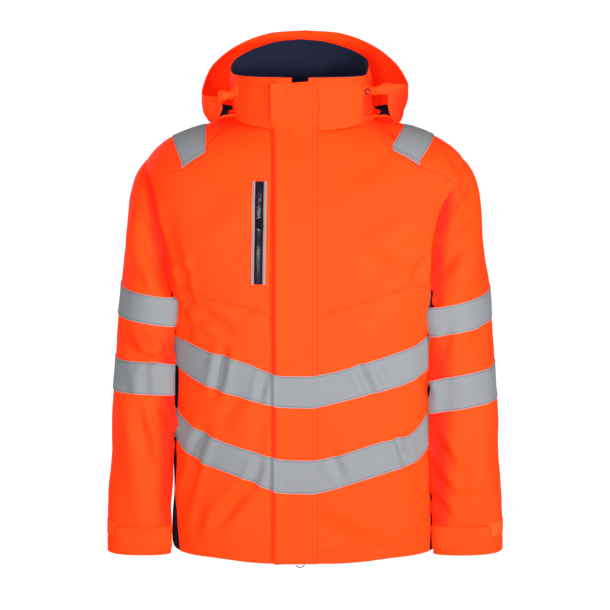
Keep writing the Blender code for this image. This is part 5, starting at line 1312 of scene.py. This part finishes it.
def rounded_sheet(bottom, top, width, low_radius, high_radius):
    """Heights and shares of the width of a grid whose outer corners are quarter circles."""
    share = np.linspace(0, 1, FLAP_CELLS[0] + 1)
    share = share * share * (3 - 2 * share) * 0.5 + share * 0.5
    height = (top - bottom) * share
    cut = np.zeros(len(height))
    for radius, near in ((low_radius, height), (high_radius, (top - bottom) - height)):
        inside = np.clip(radius - near, 0, radius)
        cut = np.maximum(cut, radius - np.sqrt(np.maximum(radius ** 2 - inside ** 2, 0)))
    across = np.linspace(0, 1, FLAP_CELLS[1] + 1)[None] * (1 - cut / width)[:, None]
    return (bottom + height)[:, None] + 0 * across, across


collar_mid = collar_sheet[0][len(COLLAR_ROWS) // 2]
for side, (inner_x, outer_x, bottom, top, *radii) in COLLAR_FLAPS.items():
    z, across = rounded_sheet(bottom, top, abs(outer_x - inner_x), *radii)
    x = inner_x + (outer_x - inner_x) * across
    here = np.flatnonzero((collar_mid[:, 1] < 20) & (collar_mid[:, 0] * SIGN[side] > 0))
    here = here[np.argsort(collar_mid[here, 0])]
    column = np.interp(x, collar_mid[here, 0], here)
    row = np.interp((z - NECK_FRONT_Z) / (COLLAR_FRONT_Z - NECK_FRONT_Z), COLLAR_ROWS,
                    np.arange(len(COLLAR_ROWS)))
    curl = 1.4 * across ** 6 + 1.6 * np.exp(-((z - bottom) / 9) ** 2) + 0.5 * np.sin(x / 9 + z / 14)
    sheet = lifted(read_grid(collar_sheet, row, column), 0.7 + curl)
    cloth(f"flap_on_collar_{side}", [sheet], COLLAR_FLAP_WALL, ORANGE, f"collar_flap_{side}",
          lift=1.6, flat=(0.075, 0.072), area=0.0052, held="laid", rests_on=["collar"])

# ---------------------------------------------------------------- hood straps and cord ends
# A cloth strap holds each front end of the hood to the collar, bunched where it is caught,
# with the black end of the hood's cord beside it under the flap.
STRAPS = {
    # path in x, y from the collar to the hood's front end
    "right": ((-106, -49), (-112.4, -52.2), (-119.5, -60.0), (-129.0, -66.5), (-138.5, -66.8)),
    "left": ((92, -60), (99.3, -62.3), (110.0, -66.5), (124.0, -68.0), (138.5, -66.8)),
}
STRAP_MIDDLE_Z, STRAP_HALF, STRAP_WALL, KNOT_AT, KNOT_WIDTH = 57.0, 8.6, 1.5, 0.52, 0.2
STRAP_DROP = {"right": 14.0, "left": 0.0}        # how much lower the hood end is held
STRAP_CELLS = (14, 40)


def repaint(node, finish):
    """Gives one of the frame's own solids, shown as it is, a finish of the scene."""
    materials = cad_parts[node].data.materials
    materials.clear()
    materials.append(finish)


for side, path in STRAPS.items():
    line = smooth(path, np.linspace(0, len(path) - 1, STRAP_CELLS[1] + 1))
    share = np.linspace(0, 1, STRAP_CELLS[1] + 1)[None, :]
    over = np.linspace(-1, 1, STRAP_CELLS[0] + 1)[:, None]
    knot = np.exp(-((share - KNOT_AT) / KNOT_WIDTH) ** 2)
    half = STRAP_HALF * (1 - 0.28 * knot + 0.25 * np.clip(share - 0.7, 0, 1))
    z = STRAP_MIDDLE_Z + over * half + 2.5 * (share - 0.5) + 1.2 * np.sin(9 * share)
    z = z - STRAP_DROP[side] * share
    out = 2.2 * knot * (1 - over ** 2) + 1.5 * knot * np.sin(3.2 * over + 11 * share)
    out = out + 0.9 * np.sin(5 * over + 16 * share) * np.clip(share * 3, 0, 1)
    way = unit(np.gradient(line, axis=0))
    aside = np.stack([way[:, 1], -way[:, 0]], -1) * SIGN[side]
    x, y = (line[None, :, k] + aside[None, :, k] * out for k in (0, 1))
    points = np.stack([x, y, z], -1)
    strap_sheet = (points, grid_normals(points, (SIGN[side] * 105, 0, 56)))
    cloth(f"strap_on_hood_{side}", [strap_sheet], STRAP_WALL, ORANGE, f"hood_tab_{side}",
          flat=(0.019, 0.042), held="gathered", rests_on=["collar", "hood"])
    stitches(f"stitching_strap_{side}", [line_beside(strap_sheet, edge, 1.8)
                                         for edge in ("bottom", "top")], THREAD)
    repaint(f"cord_end_{side}", BLACK)

# ---------------------------------------------------------------- chest pocket
# An upright moulded zip in the wearer's right chest lies between two reflective
# pipings. Stitching boxes it in at both ends.
POCKET_TOP_Z, POCKET_BOTTOM_Z, POCKET_LEAN, POCKET_ROWS = -85, -248, 2.5, 48
POCKET_PIPING = {"outer": (-83.4, -79.2), "inner": (-65.0, -60.8)}
POCKET_TAPE = (-78.8, -65.4)
TEETH_X, TOOTH_PITCH, TOOTH_SIZE = -72.2, 2.1, (4.6, 1.25, 1.1)


def on_chest(x, z):
    """Points of the folded chest seen at x, z, with the torso's own normals."""
    place = find(x, z)
    points = torso(place[..., 0], place[..., 1])
    return lifted((points, torso_normals(place)), fold_height(points))


def pocket_strip(near, far, columns):
    """An upright strip on the chest that leans out towards its lower end."""
    down = np.linspace(0, 1, POCKET_ROWS + 1)[:, None]
    x = near + (far - near) * np.linspace(0, 1, columns + 1)[None] - POCKET_LEAN * down
    return on_chest(x, POCKET_TOP_Z + (POCKET_BOTTOM_Z - POCKET_TOP_Z) * down + 0 * x)


for edge, (near, far) in POCKET_PIPING.items():
    bulge = 0.7 * np.sin(np.linspace(0, math.pi, 5))[None]
    piping = lifted(pocket_strip(near, far, 4), bulge)
    cloth(f"piping_{edge}", [piping], 1.0, TAPE, f"pocket_edge_{edge}", lift=1.5,
          flat=(0.0105, 0.163), area=0.00085, held="laid", rests_on=["chest_right"])
cloth("zip_tape_pocket", [pocket_strip(*POCKET_TAPE, 8)], 1.0, ZIP_CLOTH, "pocket_zip", lift=1.3,
      flat=(0.0135, 0.163), held="laid", rests_on=["chest_right"])
TEETH = plain_material("moulded teeth", (0.035, 0.037, 0.06), 0.25)
TOOTH_CORNERS = np.array([(-1, -1, -1), (1, -1, -1), (1, 1, -1), (-1, 1, -1),
                          (-0.7, -0.6, 1), (0.7, -0.6, 1), (0.7, 0.6, 1), (-0.7, 0.6, 1)]) * 0.5
tooth_z = np.arange(POCKET_TOP_Z - 8, POCKET_BOTTOM_Z + 3, -TOOTH_PITCH)
lean = POCKET_LEAN * (POCKET_TOP_Z - tooth_z) / (POCKET_TOP_Z - POCKET_BOTTOM_Z)
tooth_at, tooth_up = on_chest(TEETH_X - lean, tooth_z)
tooth_way = unit(np.gradient(tooth_at, axis=0))
tooth_side = unit(np.cross(tooth_way, tooth_up))
hand = np.where(np.arange(len(tooth_z)) % 2 == 0, 1, -1)[:, None]
tooth_at = tooth_at + tooth_side * 1.2 * hand + tooth_up * 1.75
frames = np.stack([way * size for way, size in zip((tooth_side, tooth_way, tooth_up), TOOTH_SIZE)], 1)
prisms("zip_teeth_pocket", tooth_at[:, None] + np.einsum("ck,nkd->ncd", TOOTH_CORNERS, frames), TEETH)
POCKET_BOXES = ((-84.5, -60.0, -67, -85.5), (-87.0, -62.5, -248, -266))
box_lines = []
for x1, x2, z1, z2 in POCKET_BOXES:
    corners = np.array([(x1, z1), (x2, z1), (x2, z2), (x1, z2), (x1, z1)], float)
    outline = np.concatenate([a + (b - a) * np.linspace(0, 1, 9)[:-1, None]
                              for a, b in zip(corners[:-1], corners[1:])] + [corners[-1:]])
    box_lines.append(on_chest(outline[:, 0], outline[:, 1]))
stitches("stitching_pocket", box_lines, THREAD)

# ---------------------------------------------------------------- pocket slider and puller
# A moulded slider with a bridge runs on the pocket's teeth. A folded cord with a
# gripped rubber end is looped through the bridge and swings on it.
SLIDER_X, SLIDER_TOP_Z, SLIDER_BOTTOM_Z = -72.4, -103, -117.6
PULLER_AXIS = (-72.599, -122.724, -118.766)
PULLER_END_TOP, PULLER_END_LENGTH, PULLER_END_WIDTH, PULLER_END_THICK = 23.0, 18.0, 13.0, 3.0


def round_bar(name, rings, finish, body="jacket"):
    """A closed body through oval rings: centre, its two half widths as vectors, sixteen sides."""
    angle = np.linspace(0, 2 * math.pi, 17)[:-1]
    points = np.concatenate([np.array(centre) + np.outer(np.cos(angle), a) + np.outer(np.sin(angle), b)
                             for centre, a, b in rings])
    number = np.arange(len(points)).reshape(len(rings), 16)
    beside = np.roll(number, -1, 1)
    faces = np.stack([number[:-1], beside[:-1], beside[1:], number[1:]], -1).reshape(-1, 4).tolist()
    faces += [number[0][::-1].tolist(), number[-1].tolist()]
    return put_in_scene(new_mesh(name, points, faces), finish, body, sharp_past=50)


top_point, top_normal = on_chest(SLIDER_X, SLIDER_TOP_Z)
low_point, low_normal = on_chest(SLIDER_X - 0.3, SLIDER_BOTTOM_Z)
slide = low_point - top_point
down, out = unit(slide), unit(top_normal + low_normal)
side_way = unit(np.cross(out, down))
SLIDER_RINGS = ((0.0, 3.2, 0.8), (0.06, 4.0, 1.3), (0.3, 4.4, 1.6), (0.62, 3.9, 1.6), (0.94, 3.3, 1.3),
                (1.0, 2.6, 0.8))
slider = round_bar("slider_pocket", [
    (top_point + slide * share + out * 3.3, side_way * width, out * thick)
    for share, width, thick in SLIDER_RINGS], TEETH)
stands_for("pocket_slider")
round_bar("slider_bridge", [
    (top_point + slide * (0.5 - 0.42 * math.cos(a)) + out * (4.2 + 1.4 * math.sin(a)),
     side_way * 1.1, unit(out * math.sin(a) - down * math.cos(a)) * 0.5)
    for a in np.linspace(0, math.pi, 9)], TEETH)
RUBBER = plain_material("dark rubber", (0.007, 0.004, 0.004), 0.8)
RUBBER.node_tree.nodes["Principled BSDF"].inputs["Specular IOR Level"].default_value = 0.15
CORD = plain_material("black cord", (0.008, 0.008, 0.012), 0.8)
axis = np.array(PULLER_AXIS)
far_point, far_normal = on_chest(SLIDER_X, PULLER_AXIS[2] - 41.0)
near_point = on_chest(SLIDER_X, PULLER_AXIS[2])[0]
hang = unit(far_point - near_point)
face_way = unit(np.cross(np.cross(hang, far_normal), hang))
wide_way = unit(np.cross(face_way, hang))
for number, shift in ((1, -0.85), (2, 0.85)):
    round_bar(f"puller_cord_{number}", [
        (axis + hang * run + wide_way * shift * min(1, 0.3 + run / 5) + face_way * 0.15 * math.sin(run),
         wide_way * 0.8, face_way * 0.8) for run in np.linspace(-0.6, PULLER_END_TOP + 3, 14)], CORD,
        body="puller")
END_RINGS = (
    # share of the length, of the width and of the thickness: the grips are the waists
    (0.0, 0.30, 0.5), (0.06, 0.55, 0.75), (0.16, 0.86, 0.95), (0.26, 1.0, 1.0), (0.34, 1.0, 0.80),
    (0.42, 1.0, 1.0), (0.50, 0.98, 0.80), (0.58, 1.0, 1.0), (0.66, 0.98, 0.80), (0.74, 1.0, 1.0),
    (0.90, 1.0, 1.0), (0.97, 0.93, 0.8), (1.0, 0.8, 0.5),
)
puller = round_bar("puller_rubber_end", [
    (axis + hang * (PULLER_END_TOP + PULLER_END_LENGTH * run), wide_way * width * PULLER_END_WIDTH / 2,
     face_way * thick * PULLER_END_THICK / 2) for run, width, thick in END_RINGS], RUBBER, body="puller")
stands_for("pocket_puller")

# ---------------------------------------------------------------- cuff tabs
# A tab of shell cloth, sewn to the sleeve by one end, closes each cuff over a patch
# of hook-and-loop tape.
TAB_RINGS, TAB_COLUMNS, TAB_CELLS, TAB_WALL, TAB_LIFT = (16.0, 18.0), (0, 35), (16, 60), 1.4, 1.6
PATCH_RINGS, PATCH_COLUMNS, PATCH_CELLS = (15.9, 17.0), (33.5, 45), (10, 24)
CUFF_STITCHING = 16
HOOK = cloth_material("hook-and-loop tape", "hook_patch", (0.95, 0.125, 0.02), 0.9, bump=1.0,
                      glow=ORANGE_GLOW, takes_shade_paint=True, scale=0.7)


def sleeve_piece(side, rings, columns, cells, end_radius=0.0):
    """A patch of the sleeve's sheet between two rings and two columns, its far corners cut round."""
    v = np.linspace(0, 1, cells[0] + 1)[:, None]
    u = np.linspace(0, 1, cells[1] + 1)[None]
    cut = end_radius * np.clip(1 - np.minimum(v, 1 - v) / 0.12, 0, 1) ** 2
    columns_at = columns[0] + (columns[1] - columns[0]) * u * (1 - cut)
    rings_at = (rings[0] + (rings[1] - rings[0]) * v) * FINE + 2 + 0 * u
    return read_grid(sleeve_sheets[side], rings_at, columns_at + 0 * v)


for side in SIGN:
    end_curl = 0.9 + 1.4 * np.linspace(0, 1, TAB_CELLS[1] + 1)[None] ** 8
    sheet = lifted(sleeve_piece(side, TAB_RINGS, TAB_COLUMNS, TAB_CELLS, 0.03), end_curl)
    cloth(f"tab_on_cuff_{side}", [sheet], TAB_WALL, ORANGE, f"cuff_tab_{side}", lift=TAB_LIFT,
          flat=(0.125, 0.040), held="laid", rests_on=[f"sleeve_{side}"])
    stitches(f"stitching_tab_{side}", [line_beside(sheet, edge, 2.0)
                                       for edge in ("bottom", "top", "end")], THREAD, lift=TAB_LIFT)
    cloth(f"hook_patch_{side}", [sleeve_piece(side, PATCH_RINGS, PATCH_COLUMNS, PATCH_CELLS)], 0.9, HOOK,
          f"cuff_patch_{side}", lift=1.1, flat=(0.052, 0.025), held="laid", rests_on=[f"sleeve_{side}"])
    stitches(f"stitching_cuff_{side}", [line_beside(sleeve_sheets[side], "top", CUFF_STITCHING)], THREAD)

# ---------------------------------------------------------------- zip pull ring
# A ring of turned steel wire hangs from the eye of the front zip's lower slider,
# just under the hem. The slider is the frame's own solid, in the same steel.
STEEL = plain_material("dark steel", (0.16, 0.16, 0.17), 0.3, 1.0)
RING_CENTRE, RING_RADIUS, RING_WIRE = (-7.8, -128.94, -706.0), 7.2, 0.8


def wire_ring(name, centre, radius, wire, finish, body):
    """A torus whose axis is Y: a circle of wire carried round a circle."""
    a, t = np.meshgrid(np.linspace(0, 2 * math.pi, 49)[:-1], np.linspace(0, 2 * math.pi, 13)[:-1],
                       indexing="ij")
    reach = radius + wire * np.cos(t)
    points = np.stack([reach * np.cos(a), wire * np.sin(t), reach * np.sin(a)], -1) + centre
    number = np.arange(48 * 12).reshape(48, 12)
    beside, over = np.roll(number, -1, 0), np.roll(number, -1, 1)
    faces = np.stack([number, beside, np.roll(beside, -1, 1), over], -1).reshape(-1, 4)
    return put_in_scene(new_mesh(name, points, faces.tolist()), finish, body)


pull_ring = wire_ring("pull_ring_wire", RING_CENTRE, RING_RADIUS, RING_WIRE, STEEL, "ring")
stands_for("zip_ring")
repaint("zip_lower_slider", STEEL)
